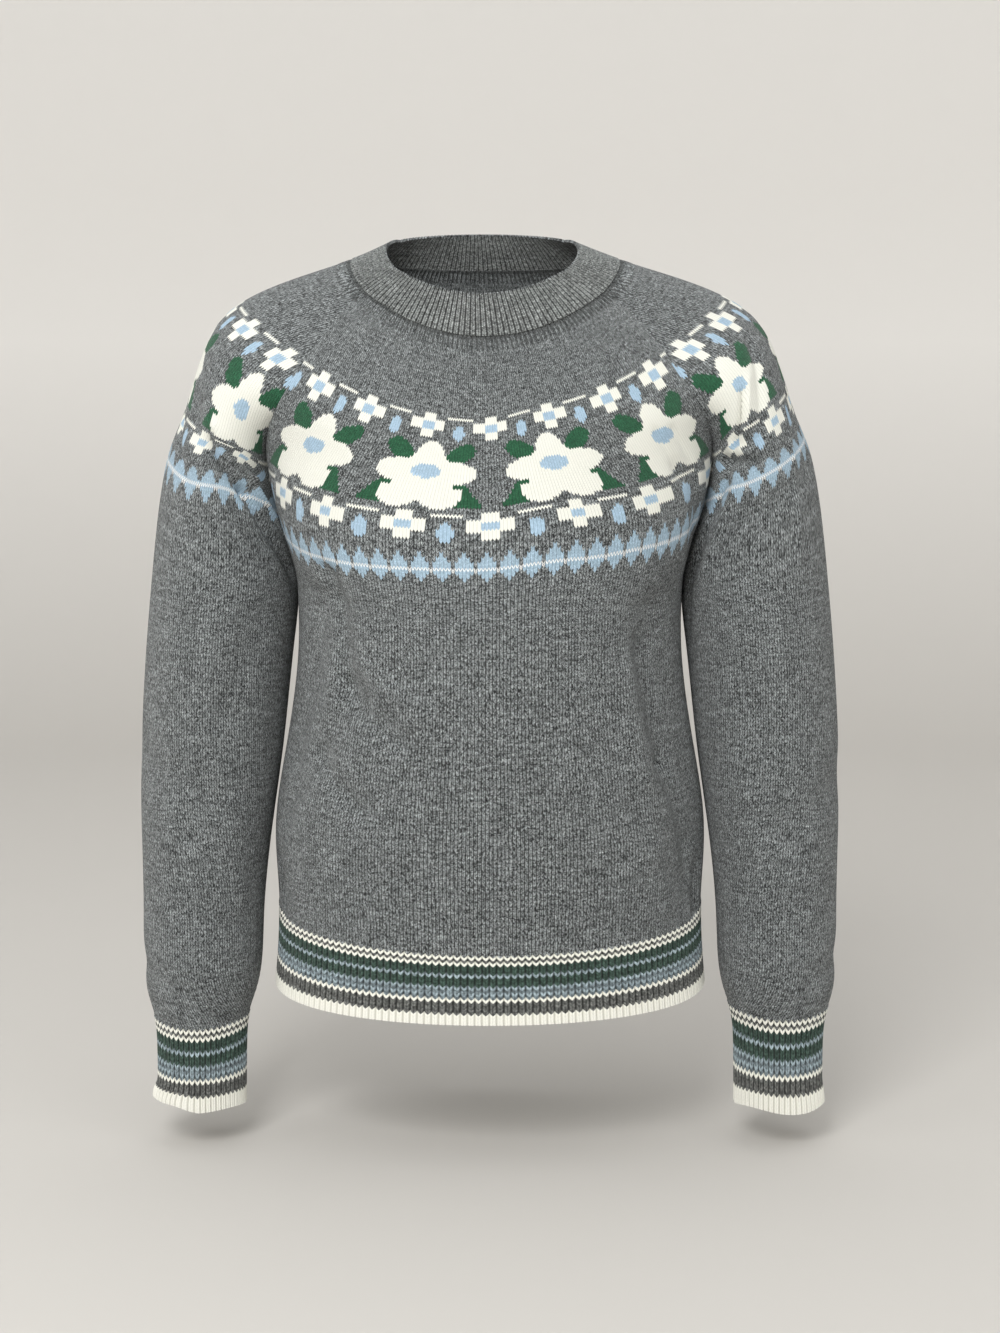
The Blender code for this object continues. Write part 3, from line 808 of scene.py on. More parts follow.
@dataclass(frozen=True)
class YokeChart:
    """The round yoke's rows of motifs, knitted into every panel.

    Rows lie at distances down the cloth. The front's motifs stand at shares of its width, a
    sleeve's at equal lengths of cloth, and a flower's widths are millimetres of flat chart.
    """

    small_row: CrossRow = CrossRow(0.0814, CrossMotif(2.3, 6.5, 5.6, 1.9, 5.9, 2.9, 2.5),
                                   dash=(-4.2, 4.7), oval=(2.9, 2.0, 4.0))
    large_row: CrossRow = CrossRow(0.1700, CrossMotif(2.1, 6.5, 5.7, 1.6, 5.7, 2.1, 2.1),
                                   dash=(-3.9, 4.8), oval=(2.9, 2.15, 3.9))
    flower_row: float = 0.1256
    diamond_row: float = 0.2035
    flower: FlowerMotif = FlowerMotif()
    sleeve_bloom: FlowerMotif = FlowerMotif(heart=(8.6, 7.4))
    small_shares: tuple[float, ...] = (-0.839, -0.558, -0.2675, 0.0155, 0.285, 0.578, 0.866)
    large_shares: tuple[float, ...] = (-0.775, -0.537, -0.255, 0.005, 0.275, 0.535, 0.917)
    flower_shares: tuple[float, ...] = (-0.712, -0.228, 0.250, 0.738)
    flower_share: float = 0.484
    diamond_stitches: float = 6.0
    diamond_half: tuple[float, float] = (2.75, 7.1)
    diamond_bulge: float = 1.5
    zigzag_from: float = 2.4
    sleeve_small: float = 0.0445
    sleeve_large: float = 0.043
    sleeve_flower: float = 0.087
    sleeve_askew: tuple[float, float] = (0.0040, -0.0040)
    sleeve_diamond: float = 0.0168
    flower_width: float = 213.0
    flower_course: float = 1.74
    sleeve_flower_width: float = 250.0
    diamond_shift: float = 0.09

    def _repeats(self, places: tuple[float, ...], share: np.ndarray, first: int) -> np.ndarray:
        """Repeat numbers across a body panel, whole at the given places.

        Args:
            places: shares of the motifs.
            share: where to read them.
            first: number of the first place.

        Returns:
            Repeat numbers, carried on evenly beyond the outer places.
        """
        numbers = np.arange(first, first + len(places))
        low = (share - places[0]) / (places[1] - places[0])
        high = (share - places[-1]) / (places[-1] - places[-2])
        inner = np.interp(share, places, numbers)
        below = np.where(share < places[0], first + low, inner)
        return np.where(share > places[-1], numbers[-1] + high, below)

    def repeats(self, panel: Panel, share: np.ndarray, arc: np.ndarray) -> SimpleNamespace:
        """Where each row's repeats fall on a panel.

        Args:
            panel: which panel.
            share: places across it.
            arc: lengths of cloth from its middle line.

        Returns:
            Repeat numbers for small crosses, flowers, large crosses and diamonds.
        """
        if panel.is_sleeve:
            askew = self.sleeve_askew[0 if panel is LEFT else 1]
            return SimpleNamespace(small=arc / self.sleeve_small,
                                   flower=(arc - askew) / self.sleeve_flower,
                                   large=arc / self.sleeve_large + 0.5,
                                   diamond=arc / self.sleeve_diamond)
        small = self._repeats(self.small_shares, share, -3)
        large = self._repeats(self.large_shares, share, -3)
        flower = self._repeats(self.flower_shares, share, -2)
        if panel is BACK:
            small = share * HALF_STITCHES / CrossRow.REPEAT_STITCHES
            large = small
            flower = share / self.flower_share + 0.5
        diamond = share * HALF_STITCHES / self.diamond_stitches + self.diamond_shift
        return SimpleNamespace(small=small, flower=flower, large=large, diamond=diamond)

    def knit(self, panel: Panel, share: np.ndarray, arc: np.ndarray,
             down: np.ndarray) -> tuple[np.ndarray, np.ndarray]:
        """Yarn of every stitch.

        Args:
            panel: which panel.
            share: places of the stitches across it.
            arc: lengths of cloth from its middle line.
            down: level distances of the courses down the cloth.

        Returns:
            Yarn codes, and 1 where a thin white strand lies over the stitch.
        """
        yarn = np.full(down.shape, Yarn.GREY.code)
        strand = np.zeros(down.shape)
        at = self.repeats(panel, share, arc)
        self.small_row.paint(yarn, at.small, down)
        self.large_row.paint(yarn, at.large, down)
        bloom = self.sleeve_bloom if panel.is_sleeve else self.flower
        width = self.sleeve_flower_width if panel.is_sleeve else self.flower_width
        across = (at.flower - np.round(at.flower)) * (self.flower_share * width)
        bloom.paint(yarn, across, (down - self.flower_row) / COURSE * self.flower_course)
        self._diamonds(yarn, strand, at.diamond, (down - self.diamond_row) / COURSE)
        return yarn, strand

    def _diamonds(self, yarn: np.ndarray, strand: np.ndarray, repeat: np.ndarray,
                  below: np.ndarray) -> None:
        """Knit the row of mottled diamonds with its thin white strand.

        Args:
            yarn: the chart's yarn codes, changed in place.
            strand: marks of the white strand, changed in place.
            repeat: repeat numbers.
            below: courses below the row's middle.
        """
        across = np.abs(repeat - np.round(repeat)) * self.diamond_stitches
        wide, high = self.diamond_half
        reach = across / wide + (np.abs(below) / high) ** self.diamond_bulge
        yarn[reach < 1.0] = Yarn.SKY_MARL.code
        strand[np.abs(below) < 0.5] = 1
        strand[(np.abs(below - 1) < 0.5) & (across > self.zigzag_from)] = 1


@dataclass(frozen=True)
class Stitches:
    """What the loops of a piece are knitted from, one value for each cell of its grid."""

    here: np.ndarray
    above: np.ndarray
    strand: np.ndarray
    strand_above: np.ndarray

    @classmethod
    def from_chart(cls, yarn: np.ndarray, strand: np.ndarray, above: Yarn) -> "Stitches":
        """Take each cell's yarn, and the one of the course above it.

        Args:
            yarn: yarn codes, one row for each course.
            strand: marks of the white strand.
            above: the yarn above the first course.

        Returns:
            Colours and marks of every cell, in rows.
        """
        palette = Yarn.palette()
        raised = np.concatenate([np.full_like(yarn[:1], above.code), yarn[:-1]])
        strand_raised = np.concatenate([strand[:1], strand[:-1]])
        return cls(palette[yarn].reshape(-1, 4), palette[raised].reshape(-1, 4),
                   strand.ravel(), strand_raised.ravel())


@dataclass(frozen=True)
class ClothShell:
    """A closed thin shell: an outer and an inner grid, joined along every free edge."""

    outer: np.ndarray
    inner: np.ndarray
    ids: np.ndarray
    stitch_map: np.ndarray
    stitches: Stitches
    turn: int

    SHARP_DEGREES = 50

    def _cells(self, vertex: np.ndarray) -> tuple[np.ndarray, np.ndarray, np.ndarray, np.ndarray]:
        """Faces of one skin: quads and triangles as grid places, and the cell of each.

        Args:
            vertex: the vertex at each grid place.

        Returns:
            Quads, triangles, and the cells of both.
        """
        rows, columns = self.ids.shape
        grid = np.arange(rows * columns).reshape(rows, columns)
        quads = np.stack([grid[:-1, :-1], grid[:-1, 1:], grid[1:, 1:], grid[1:, :-1]], axis=-1)
        quads = quads.reshape(-1, 4)
        if self.turn < 0:
            quads = quads[:, ::-1]
        corners = vertex[quads]
        same = corners == np.roll(corners, -1, axis=1)
        cells = np.arange(len(quads))
        whole = same.sum(axis=1) == 0
        cut = same.sum(axis=1) == 1
        triangles = quads[cut][~same[cut]].reshape(-1, 3)
        return quads[whole], triangles, cells[whole], cells[cut]

    def _rim(self, vertex: np.ndarray, faces: tuple[np.ndarray, np.ndarray],
             cells: tuple[np.ndarray, np.ndarray]) -> tuple[np.ndarray, np.ndarray]:
        """Free edges of the skin, as pairs of grid places, and the cell beside each.

        Args:
            vertex: the vertex at each grid place.
            faces: quads and triangles.
            cells: the cell of each face.

        Returns:
            The edges and their cells.
        """
        edges = []
        owners = []
        for group, owner in zip(faces, cells):
            for k in range(group.shape[1]):
                edges.append(np.stack([group[:, k], group[:, (k + 1) % group.shape[1]]], axis=1))
                owners.append(owner)
        edges = np.concatenate(edges)
        owners = np.concatenate(owners)
        ends = np.sort(vertex[edges], axis=1)
        key = ends[:, 0].astype(np.int64) * (vertex.max() + 1) + ends[:, 1]
        _, place, count = np.unique(key, return_inverse=True, return_counts=True)
        free = count[place.ravel()] == 1
        return edges[free], owners[free]

    def build(self, name: str, material: bpy.types.Material) -> bpy.types.Object:
        """Make the mesh object.

        Args:
            name: the piece's name.
            material: its finish.

        Returns:
            The new object.
        """
        _, first, vertex = np.unique(self.ids.ravel(), return_index=True, return_inverse=True)
        vertex = vertex.ravel()
        count = len(first)
        quads, triangles, quad_cells, triangle_cells = self._cells(vertex)
        rim, rim_cells = self._rim(vertex, (quads, triangles), (quad_cells, triangle_cells))
        points = np.concatenate([self.outer.reshape(-1, 3)[first], self.inner.reshape(-1, 3)[first]])
        groups = (
            (quads, np.zeros(4, int), quad_cells),
            (triangles, np.zeros(3, int), triangle_cells),
            (quads[:, ::-1], np.full(4, count), quad_cells),
            (triangles[:, ::-1], np.full(3, count), triangle_cells),
            (rim[:, [1, 0, 0, 1]], np.array([0, 0, count, count]), rim_cells),
        )
        faces = []
        for places, skin, _ in groups:
            faces.extend((vertex[places] + skin).tolist())
        mesh = bpy.data.meshes.new(name)
        mesh.from_pydata(points.tolist(), [], faces)
        loops = np.concatenate([places.ravel() for places, _, _ in groups])
        cells = np.concatenate([owner for _, _, owner in groups])
        layer = mesh.uv_layers.new(name=STITCH_MAP)
        layer.data.foreach_set("uv", self.stitch_map.reshape(-1, 2)[loops].ravel())
        self._colour(mesh, cells)
        mesh.materials.append(material)
        mesh.shade_smooth()
        mesh.set_sharp_from_angle(angle=math.radians(self.SHARP_DEGREES))
        piece = bpy.data.objects.new(name, mesh)
        bpy.context.scene.collection.objects.link(piece)
        return piece

    def _colour(self, mesh: bpy.types.Mesh, cells: np.ndarray) -> None:
        """Store each face's yarns.

        Args:
            mesh: the new mesh.
            cells: the cell of the grid that each face belongs to.
        """
        marks = np.zeros((len(cells), 4))
        marks[:, 0] = self.stitches.strand[cells]
        marks[:, 1] = self.stitches.strand_above[cells]
        layers = ((HERE, self.stitches.here[cells]), (ABOVE, self.stitches.above[cells]),
                  (STRAND, marks))
        for label, values in layers:
            layer = mesh.attributes.new(label, "FLOAT_COLOR", "FACE")
            layer.data.foreach_set("color", values.astype(np.float32).ravel())


@dataclass(frozen=True)
class PieceLabel:
    """A piece's name, the node that it replaces, its slot, and the cut of its cloth."""

    name: str
    node: str
    slot: str
    flat: tuple[float, float]
    area: float
    rests_on: tuple[str, ...]

    def hand_over(self, piece: bpy.types.Object) -> None:
        """Hang the piece from the root body and hide the part that it replaces.

        Args:
            piece: the finished object.
        """
        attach(piece, "root")
        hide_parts(self.node)
        LOG.info("%s: %d faces", piece.name, len(piece.data.polygons))


@dataclass(frozen=True)
class JerseyPanel:
    """A knitted-to-shape panel, from the neckband's seam to its rib."""

    label: PieceLabel
    panel: Panel
    end: float
    body_rows: int
    gusset_rows: int = 6
    yoke_courses: int = 125
    body_course: float = 0.00195
    snap: float = 0.3
    neck_comb: float = 0.0007
    neck_crown: float = 0.5
    neck_fade: float = 0.0122
    neck_fade_from: float = 0.7
    neck_seam: float = 0.0007
    neck_seam_width: float = 0.0026
    neck_courses: int = 6

    TOUCHING = 1e-9

    def rows(self) -> tuple[np.ndarray, np.ndarray]:
        """Distances of the mesh's rows down the cloth, and their course numbers.

        Returns:
            The distances and the numbers.
        """
        yoke = np.arange(self.yoke_courses + 1) * COURSE
        gusset = np.linspace(YOKE_END, UNDERARM, self.gusset_rows + 1)[1:]
        body = np.linspace(UNDERARM, self.end, self.body_rows + 1)[1:]
        below = np.concatenate([gusset, body])
        numbers = self.yoke_courses + (below - YOKE_END) / self.body_course
        return np.concatenate([yoke, below]), np.concatenate([np.arange(len(yoke)), numbers])

    def columns(self, downs: np.ndarray) -> tuple[np.ndarray, np.ndarray, np.ndarray, np.ndarray]:
        """Where the wales run.

        Args:
            downs: distances of the rows.

        Returns:
            For every row and column its share, its length of cloth from the middle line,
            its wale number, and the column that stands for it where the panel is narrower.
        """
        if not self.panel.is_sleeve:
            wales = np.arange(-HALF_STITCHES, HALF_STITCHES + 1)
            share = np.tile(wales / HALF_STITCHES, (len(downs), 1))
            held = np.tile(np.arange(len(wales)), (len(downs), 1))
            return share, 0 * share, share * HALF_STITCHES + HALF_STITCHES, held
        tables = [CUT.arc(self.panel, down) for down in downs]
        most = math.ceil(max(lengths[-1] for _, lengths in tables) / SLEEVE_STITCH)
        wales = np.arange(-most, most + 1)
        share = np.zeros((len(downs), len(wales)))
        arc = np.zeros_like(share)
        held = np.zeros_like(share, dtype=int)
        for r, (shares, lengths) in enumerate(tables):
            wanted = wales * SLEEVE_STITCH
            inside = np.abs(wanted) < lengths[-1] - self.snap * SLEEVE_STITCH
            arc[r] = np.where(inside, wanted, np.sign(wanted) * lengths[-1])
            share[r] = np.sign(wanted) * np.interp(np.abs(arc[r]), lengths, shares)
            kept = np.flatnonzero(inside)
            held[r] = np.clip(np.arange(len(wales)), kept[0] - 1, kept[-1] + 1)
        return share, arc, arc / SLEEVE_STITCH + most, held

    def build(self, chart: YokeChart, material: bpy.types.Material) -> bpy.types.Object:
        """Knit the panel.

        Args:
            chart: the yoke's motifs.
            material: the jersey's finish.

        Returns:
            The finished piece.
        """
        level, number = self.rows()
        share, arc, wale, held = self.columns(level)
        levels = np.tile(level[:, None], (1, share.shape[1]))
        down = levels + CUT.slide(self.panel, share, levels)
        outer, normals = CUT.surface(self.panel, share, down)
        outer = outer + normals * self.neck_relief(levels)[..., None]
        ids = np.arange(len(level))[:, None] * share.shape[1] + held
        if self.panel.is_sleeve:
            tube = level >= UNDERARM - self.TOUCHING
            last = ids[tube, -1]
            ids[tube] = np.where(ids[tube] == last[:, None], ids[tube, 0][:, None], ids[tube])
        stitch_map = np.stack([wale, np.tile(number[:, None], (1, share.shape[1]))], axis=-1)
        middle = tuple(self._middles(grid) for grid in (share, arc, levels))
        yarn, strand = chart.knit(self.panel, *middle)
        # Painted shade: the seam course and the grooves of the short ribs below the neckband are
        # coloured dark grey, also as the yarn above the first course
        yarn[0] = Yarn.GROOVE_SHADE.code
        grooves = np.flatnonzero(self._neck_grooves(yarn.shape[1]))
        yarn[1:self.neck_courses, grooves] = Yarn.GROOVE_SHADE.code
        shell = ClothShell(outer, outer - normals * JERSEY_WALL, ids, stitch_map,
                           Stitches.from_chart(yarn, strand, Yarn.GROOVE_SHADE), self.panel.turn)
        piece = shell.build(self.label.name, material)
        self.label.hand_over(piece)
        return piece

    def neck_relief(self, levels: np.ndarray) -> np.ndarray:
        """Short ribs and the sunken seam below the neckband.

        Args:
            levels: distances of every point of the grid down the cloth.

        Returns:
            Heights in metres; below zero in the grooves.
        """
        comb = np.where(self._neck_grooves(levels.shape[1]), -1.0, self.neck_crown)
        faded = smooth(levels, self.neck_fade_from * self.neck_fade, self.neck_fade)
        return self.neck_comb * comb * (1 - faded) - self.neck_seam * bell(levels, self.neck_seam_width)

    def _neck_grooves(self, count: int) -> np.ndarray:
        """Which of the panel's columns are grooves of the short ribs below the neckband."""
        return np.arange(count) % (2 if self.panel.is_sleeve else 3) == 0

    @staticmethod
    def _middles(grid: np.ndarray) -> np.ndarray:
        """Values at the middles of the cells."""
        return (grid[:-1, :-1] + grid[:-1, 1:] + grid[1:, :-1] + grid[1:, 1:]) / 4


@dataclass(frozen=True)
class RibRun:
    """The part of a rib that hangs from one panel."""

    panel: Panel
    backwards: bool
    ribs: int


@dataclass(frozen=True)
class RibBand:
    """A 1x1 rib: raised knit columns with a groove between each two."""

    label: PieceLabel
    runs: tuple[RibRun, ...]
    start: float
    end: float
    courses: tuple[Yarn, ...]
    turn: int
    ring: bool = True
    rise: float = 0.0014
    valley: float = 0.28
    valley_width: float = 0.22
    points_per_rib: int = 8

    def relief(self, place: np.ndarray) -> np.ndarray:
        """Height of the rib across its width, from 0 in the groove to 1 on its two legs.

        Args:
            place: rib numbers, whole in the grooves.

        Returns:
            Heights between 0 and 1.
        """
        aside = np.abs(2 * (place - np.floor(place)) - 1)
        body = np.sqrt(np.clip(1 - aside ** 3, 0, 1))
        return body - self.valley * bell(aside, self.valley_width)

    def even_shares(self, run: RibRun, down: float) -> np.ndarray:
        """Shares that cut a run into equal lengths of cloth.

        Args:
            run: one panel's stretch of the band.
            down: distance down the cloth.

        Returns:
            The shares, in the run's order.
        """
        shares, lengths = CUT.arc(run.panel, down)
        both = np.concatenate([-shares[:0:-1], shares])
        total = np.concatenate([-lengths[:0:-1], lengths])
        count = run.ribs * self.points_per_rib
        even = np.interp(np.linspace(total[0], total[-1], count + 1), total, both)
        return even[::-1] if run.backwards else even

    def settle(self, points: np.ndarray, share: np.ndarray, down: np.ndarray) -> np.ndarray:
        """Shift the band's points where it hangs unevenly; a plain band stays as it is."""
        return points

    def hang(self, downs: np.ndarray) -> tuple[np.ndarray, np.ndarray]:
        """The band's middle surface, run by run.

        Args:
            downs: distances of its rows down the cloth.

        Returns:
            Points and unit normals, one row of each for every distance.
        """
        lines = []
        turns = []
        for run in self.runs:
            shares = self.even_shares(run, self.start)
            shares = shares if run is self.runs[-1] else shares[:-1]
            share, down = np.meshgrid(shares, downs)
            rise = CUT.cuff_rise if run.panel.is_sleeve else CUT.hem_rise
            down = down - rise(share, down)
            points, normals = CUT.surface(run.panel, share, down)
            lines.append(self.settle(points, share, down))
            turns.append(normals)
        return np.concatenate(lines, axis=1), np.concatenate(turns, axis=1)

    def build(self, material: bpy.types.Material) -> bpy.types.Object:
        """Knit the band.

        Args:
            material: the rib's finish.

        Returns:
            The finished piece.
        """
        downs = np.linspace(self.start, self.end, len(self.courses) + 1)
        line, normals = self.hang(downs)
        columns = line.shape[1]
        place = np.arange(columns) / self.points_per_rib
        height = (self.relief(place) - 0.5) * self.rise
        outer = line + normals * height[None, :, None]
        inner = line - normals * (RIB_WALL - self.rise / 2)
        ids = np.arange(line.shape[0])[:, None] * columns + np.arange(columns)[None, :]
        if self.ring:
            ids[:, -1] = ids[:, 0]
        number = np.tile(np.arange(len(downs))[:, None], (1, columns))
        stitch_map = np.stack([np.tile(place, (len(downs), 1)), number], axis=-1)
        codes = np.array([yarn.code for yarn in self.courses])
        yarn = np.tile(codes[:, None], (1, columns - 1))
        shell = ClothShell(outer, inner, ids, stitch_map,
                           Stitches.from_chart(yarn, np.zeros(yarn.shape), Yarn.GREY), self.turn)
        piece = shell.build(self.label.name, material)
        self.label.hand_over(piece)
        return piece


@dataclass(frozen=True)
class CuffRib(RibBand):
    """A cuff whose lower edge flares or waves."""

    kink_share: float = 0.0
    kink_rise: float = 0.0
    kink_reach: tuple[float, float] = (-0.42, -0.22)
    flare: float = 0.0
    wave: float = 0.0
    wave_turns: float = 3.1
    wave_start: float = 0.6
    loose_length: float = 0.024

    def settle(self, points: np.ndarray, share: np.ndarray, down: np.ndarray) -> np.ndarray:
        """Let the lower edge flare at the outer side and wave.

        Args:
            points: the band's points, changed in place.
            share: their places round the sleeve.
            down: their distances down the cloth.

        Returns:
            The points.
        """
        low = smooth(down, self.end - self.loose_length, self.end)
        side = self.runs[0].panel.side
        outer = smooth(-np.abs(share - self.kink_share), *self.kink_reach)
        points[..., 2] += self.kink_rise * low * outer
        points[..., 0] += side * self.flare * low * outer
        wave = np.sin(share * math.pi * self.wave_turns + self.wave_start)
        points[..., 2] += self.wave * low * wave
        return points


class NodePad:
    """Places shader nodes in a tree and joins them."""

    def __init__(self, tree: bpy.types.NodeTree) -> None:
        """Keep the tree that is worked on."""
        self.tree = tree

    def node(self, kind: str, **settings: object) -> bpy.types.Node:
        """Add a node and set its own properties.

        Args:
            kind: the node's type, without its first words.
            settings: properties and their values.

        Returns:
            The node.
        """
        node = self.tree.nodes.new("ShaderNode" + kind)
        for name, value in settings.items():
            setattr(node, name, value)
        return node

    def feed(self, socket: bpy.types.NodeSocket, value: object) -> None:
        """Give an input a plain value, or join it to an output."""
        if isinstance(value, bpy.types.NodeSocket):
            self.tree.links.new(value, socket)
        else:
            socket.default_value = value

    def fill(self, node: bpy.types.Node, values: dict[object, object]) -> None:
        """Give several of a node's inputs, by name or number, their values."""
        for name, value in values.items():
            self.feed(node.inputs[name], value)

    def stitch_map(self) -> bpy.types.NodeSocket:
        """Where a spot lies in the knitting: its wale and its course."""
        return self.node("UVMap", uv_map=STITCH_MAP).outputs[0]

    def vector(self, operation: str, values: dict[object, object]) -> bpy.types.NodeSocket:
        """Add a Vector Math node.

        Args:
            operation: its operation.
            values: what goes into its inputs, by name or number.

        Returns:
            Its vector result.
        """
        node = self.node("VectorMath", operation=operation)
        self.fill(node, values)
        return node.outputs[0]

    def parts(self, vector: bpy.types.NodeSocket) -> bpy.types.bpy_prop_collection:
        """Take a vector apart.

        Args:
            vector: the output that gives it.

        Returns:
            The outputs of its three parts.
        """
        node = self.node("SeparateXYZ")
        self.feed(node.inputs[0], vector)
        return node.outputs

    def math(self, operation: str, *values: object) -> bpy.types.NodeSocket:
        """Add a Math node.

        Args:
            operation: its operation.
            values: numbers or outputs for its inputs.

        Returns:
            Its result.
        """
        node = self.node("Math", operation=operation)
        for socket, value in zip(node.inputs, values):
            self.feed(socket, value)
        return node.outputs[0]

    def between(self, factor: object, low: object, high: object) -> bpy.types.NodeSocket:
        """A number between two others, by a factor.

        Args:
            factor: 0 for the first, 1 for the second.
            low: the first number or socket.
            high: the second number or socket.

        Returns:
            The socket that gives it.
        """
        node = self.node("Mix", data_type="FLOAT")
        self.fill(node, {"Factor": factor, "A": low, "B": high})
        return node.outputs[0]

    def blend(self, factor: object, low: object, high: object) -> bpy.types.NodeSocket:
        """A colour between two others, by a factor.

        Args:
            factor: 0 for the first, 1 for the second.
            low: the first colour or socket.
            high: the second colour or socket.

        Returns:
            The socket that gives it.
        """
        node = self.node("Mix", data_type="RGBA")
        colours = [socket for socket in node.inputs if socket.type == "RGBA"]
        self.feed(node.inputs[0], factor)
        self.feed(colours[0], low)
        self.feed(colours[1], high)
        return [socket for socket in node.outputs if socket.type == "RGBA"][0]


def make_group(name: str, inputs: tuple[tuple[str, str], ...],
               outputs: tuple[tuple[str, str], ...]) -> tuple[bpy.types.NodeTree, NodePad]:
    """Start a shader node group.

    Args:
        name: the group's name.
        inputs: names and socket types.
        outputs: names and socket types.

    Returns:
        The group and a pad to work on it.
    """
    tree = bpy.data.node_groups.new(name, "ShaderNodeTree")
    for direction, sockets in (("INPUT", inputs), ("OUTPUT", outputs)):
        for label, kind in sockets:
            tree.interface.new_socket(label, in_out=direction, socket_type="NodeSocket" + kind)
    return tree, NodePad(tree)


class StitchGroup:
    """Shader group: the V-shaped loops of knitted cloth, read from its stitch map."""

    NAME = "knitted loops"
    FIRST_TURN = 0.18
    END_RELIEF = 0.45

    def build(self) -> bpy.types.NodeTree:
        """Make the group.

        Returns:
            The node tree: whether a spot belongs to its own course, its place along the
            strand, its relief, and a number for each leg of each loop.
        """
        tree, pad = make_group(
            self.NAME, (("Slant", "Float"), ("Fall", "Float")),
            (("Own Course", "Float"), ("Along", "Float"), ("Aside", "Float"), ("Relief", "Float"),
             ("Leg", "Vector")))
        entry = tree.nodes.new("NodeGroupInput")
        leave = tree.nodes.new("NodeGroupOutput")
        wale, course, _ = pad.parts(pad.stitch_map())
        aside = pad.math("ABSOLUTE", pad.math("MULTIPLY_ADD", pad.math("FRACT", wale), 2.0, -1.0))
        shift = pad.math("MULTIPLY", pad.math("SUBTRACT", 1.0, aside), entry.outputs["Slant"])
        strand = pad.math("SUBTRACT", course, shift)
        row = pad.math("FLOOR", strand)
        along = pad.math("SUBTRACT", strand, row)
        own = pad.math("GREATER_THAN", pad.math("ADD", row, 0.5), pad.math("FLOOR", course))
        turned = pad.math("MULTIPLY_ADD", aside, (1 - self.FIRST_TURN) * math.pi,
                          self.FIRST_TURN * math.pi)
        crest = pad.math("MAXIMUM", pad.math("SINE", turned), 0.0)
        across = pad.math("POWER", crest, entry.outputs["Fall"])
        length = pad.math("POWER", pad.math("SINE", pad.math("MULTIPLY", along, math.pi)), 0.5)
        relief = pad.math("MULTIPLY", across, pad.math("MULTIPLY_ADD", length, 1 - self.END_RELIEF,
                                                       self.END_RELIEF))
        leg = pad.node("CombineXYZ")
        pad.fill(leg, {0: pad.math("FLOOR", pad.math("MULTIPLY", wale, 2.0)), 1: row,
                       2: pad.math("FLOOR", pad.math("MULTIPLY", along, 2.0))})
        pad.fill(leave, {"Own Course": own, "Along": along, "Aside": aside, "Relief": relief,
                         "Leg": leg.outputs[0]})
        return tree


class HeatherGroup:
    """Shader group: loops and fibres of heather yarn in uneven tones."""

    NAME = "heather yarn"
    STREAKS = (0.12, 0.85, 1.0)
    STREAK_TONE = (1.1, 0.45)
    FIBRES = (3.0, 2.0, 1.0)
    FIBRE_POWER = 1.6
    FIBRE_TONE = (1.35, 0.07)
    LOOP_POWER = 2.1
    LOOP_TONE = 1.30

    def build(self) -> bpy.types.NodeTree:
        """Make the group.

        Returns:
            The node tree: a colour with its tone varied by an amount.
        """
        tree, pad = make_group(
            self.NAME, (("Colour", "Color"), ("Amount", "Float"), ("Leg", "Vector")),
            (("Colour", "Color"),))
        entry = tree.nodes.new("NodeGroupInput")
        leave = tree.nodes.new("NodeGroupOutput")
        loops = pad.node("TexWhiteNoise", noise_dimensions="3D")
        pad.feed(loops.inputs["Vector"], entry.outputs["Leg"])
        streaks = pad.node("TexNoise", noise_dimensions="2D")
        pad.fill(streaks, {"Vector": pad.vector("MULTIPLY", {0: pad.stitch_map(), 1: self.STREAKS}),
                           "Scale": 1.0, "Detail": 2.0})
        grain = pad.vector("MULTIPLY", {0: pad.stitch_map(), 1: self.FIBRES})
        fibres = pad.node("TexWhiteNoise", noise_dimensions="2D")
        pad.feed(fibres.inputs["Vector"], pad.vector("FLOOR", {0: grain}))
        skewed = pad.math("POWER", loops.outputs["Value"], self.LOOP_POWER)
        fine = pad.math("MULTIPLY_ADD", pad.math("POWER", fibres.outputs["Value"], self.FIBRE_POWER),
                        *self.FIBRE_TONE)
        fleck = pad.math("MULTIPLY_ADD", skewed, self.LOOP_TONE, fine)
        streak = pad.math("MULTIPLY_ADD", streaks.outputs[0], *self.STREAK_TONE)
        varied = pad.between(entry.outputs["Amount"], 1.0, pad.math("MULTIPLY", fleck, streak))
        pad.feed(leave.inputs["Colour"],
                 pad.vector("SCALE", {0: entry.outputs["Colour"], "Scale": varied}))
        return tree


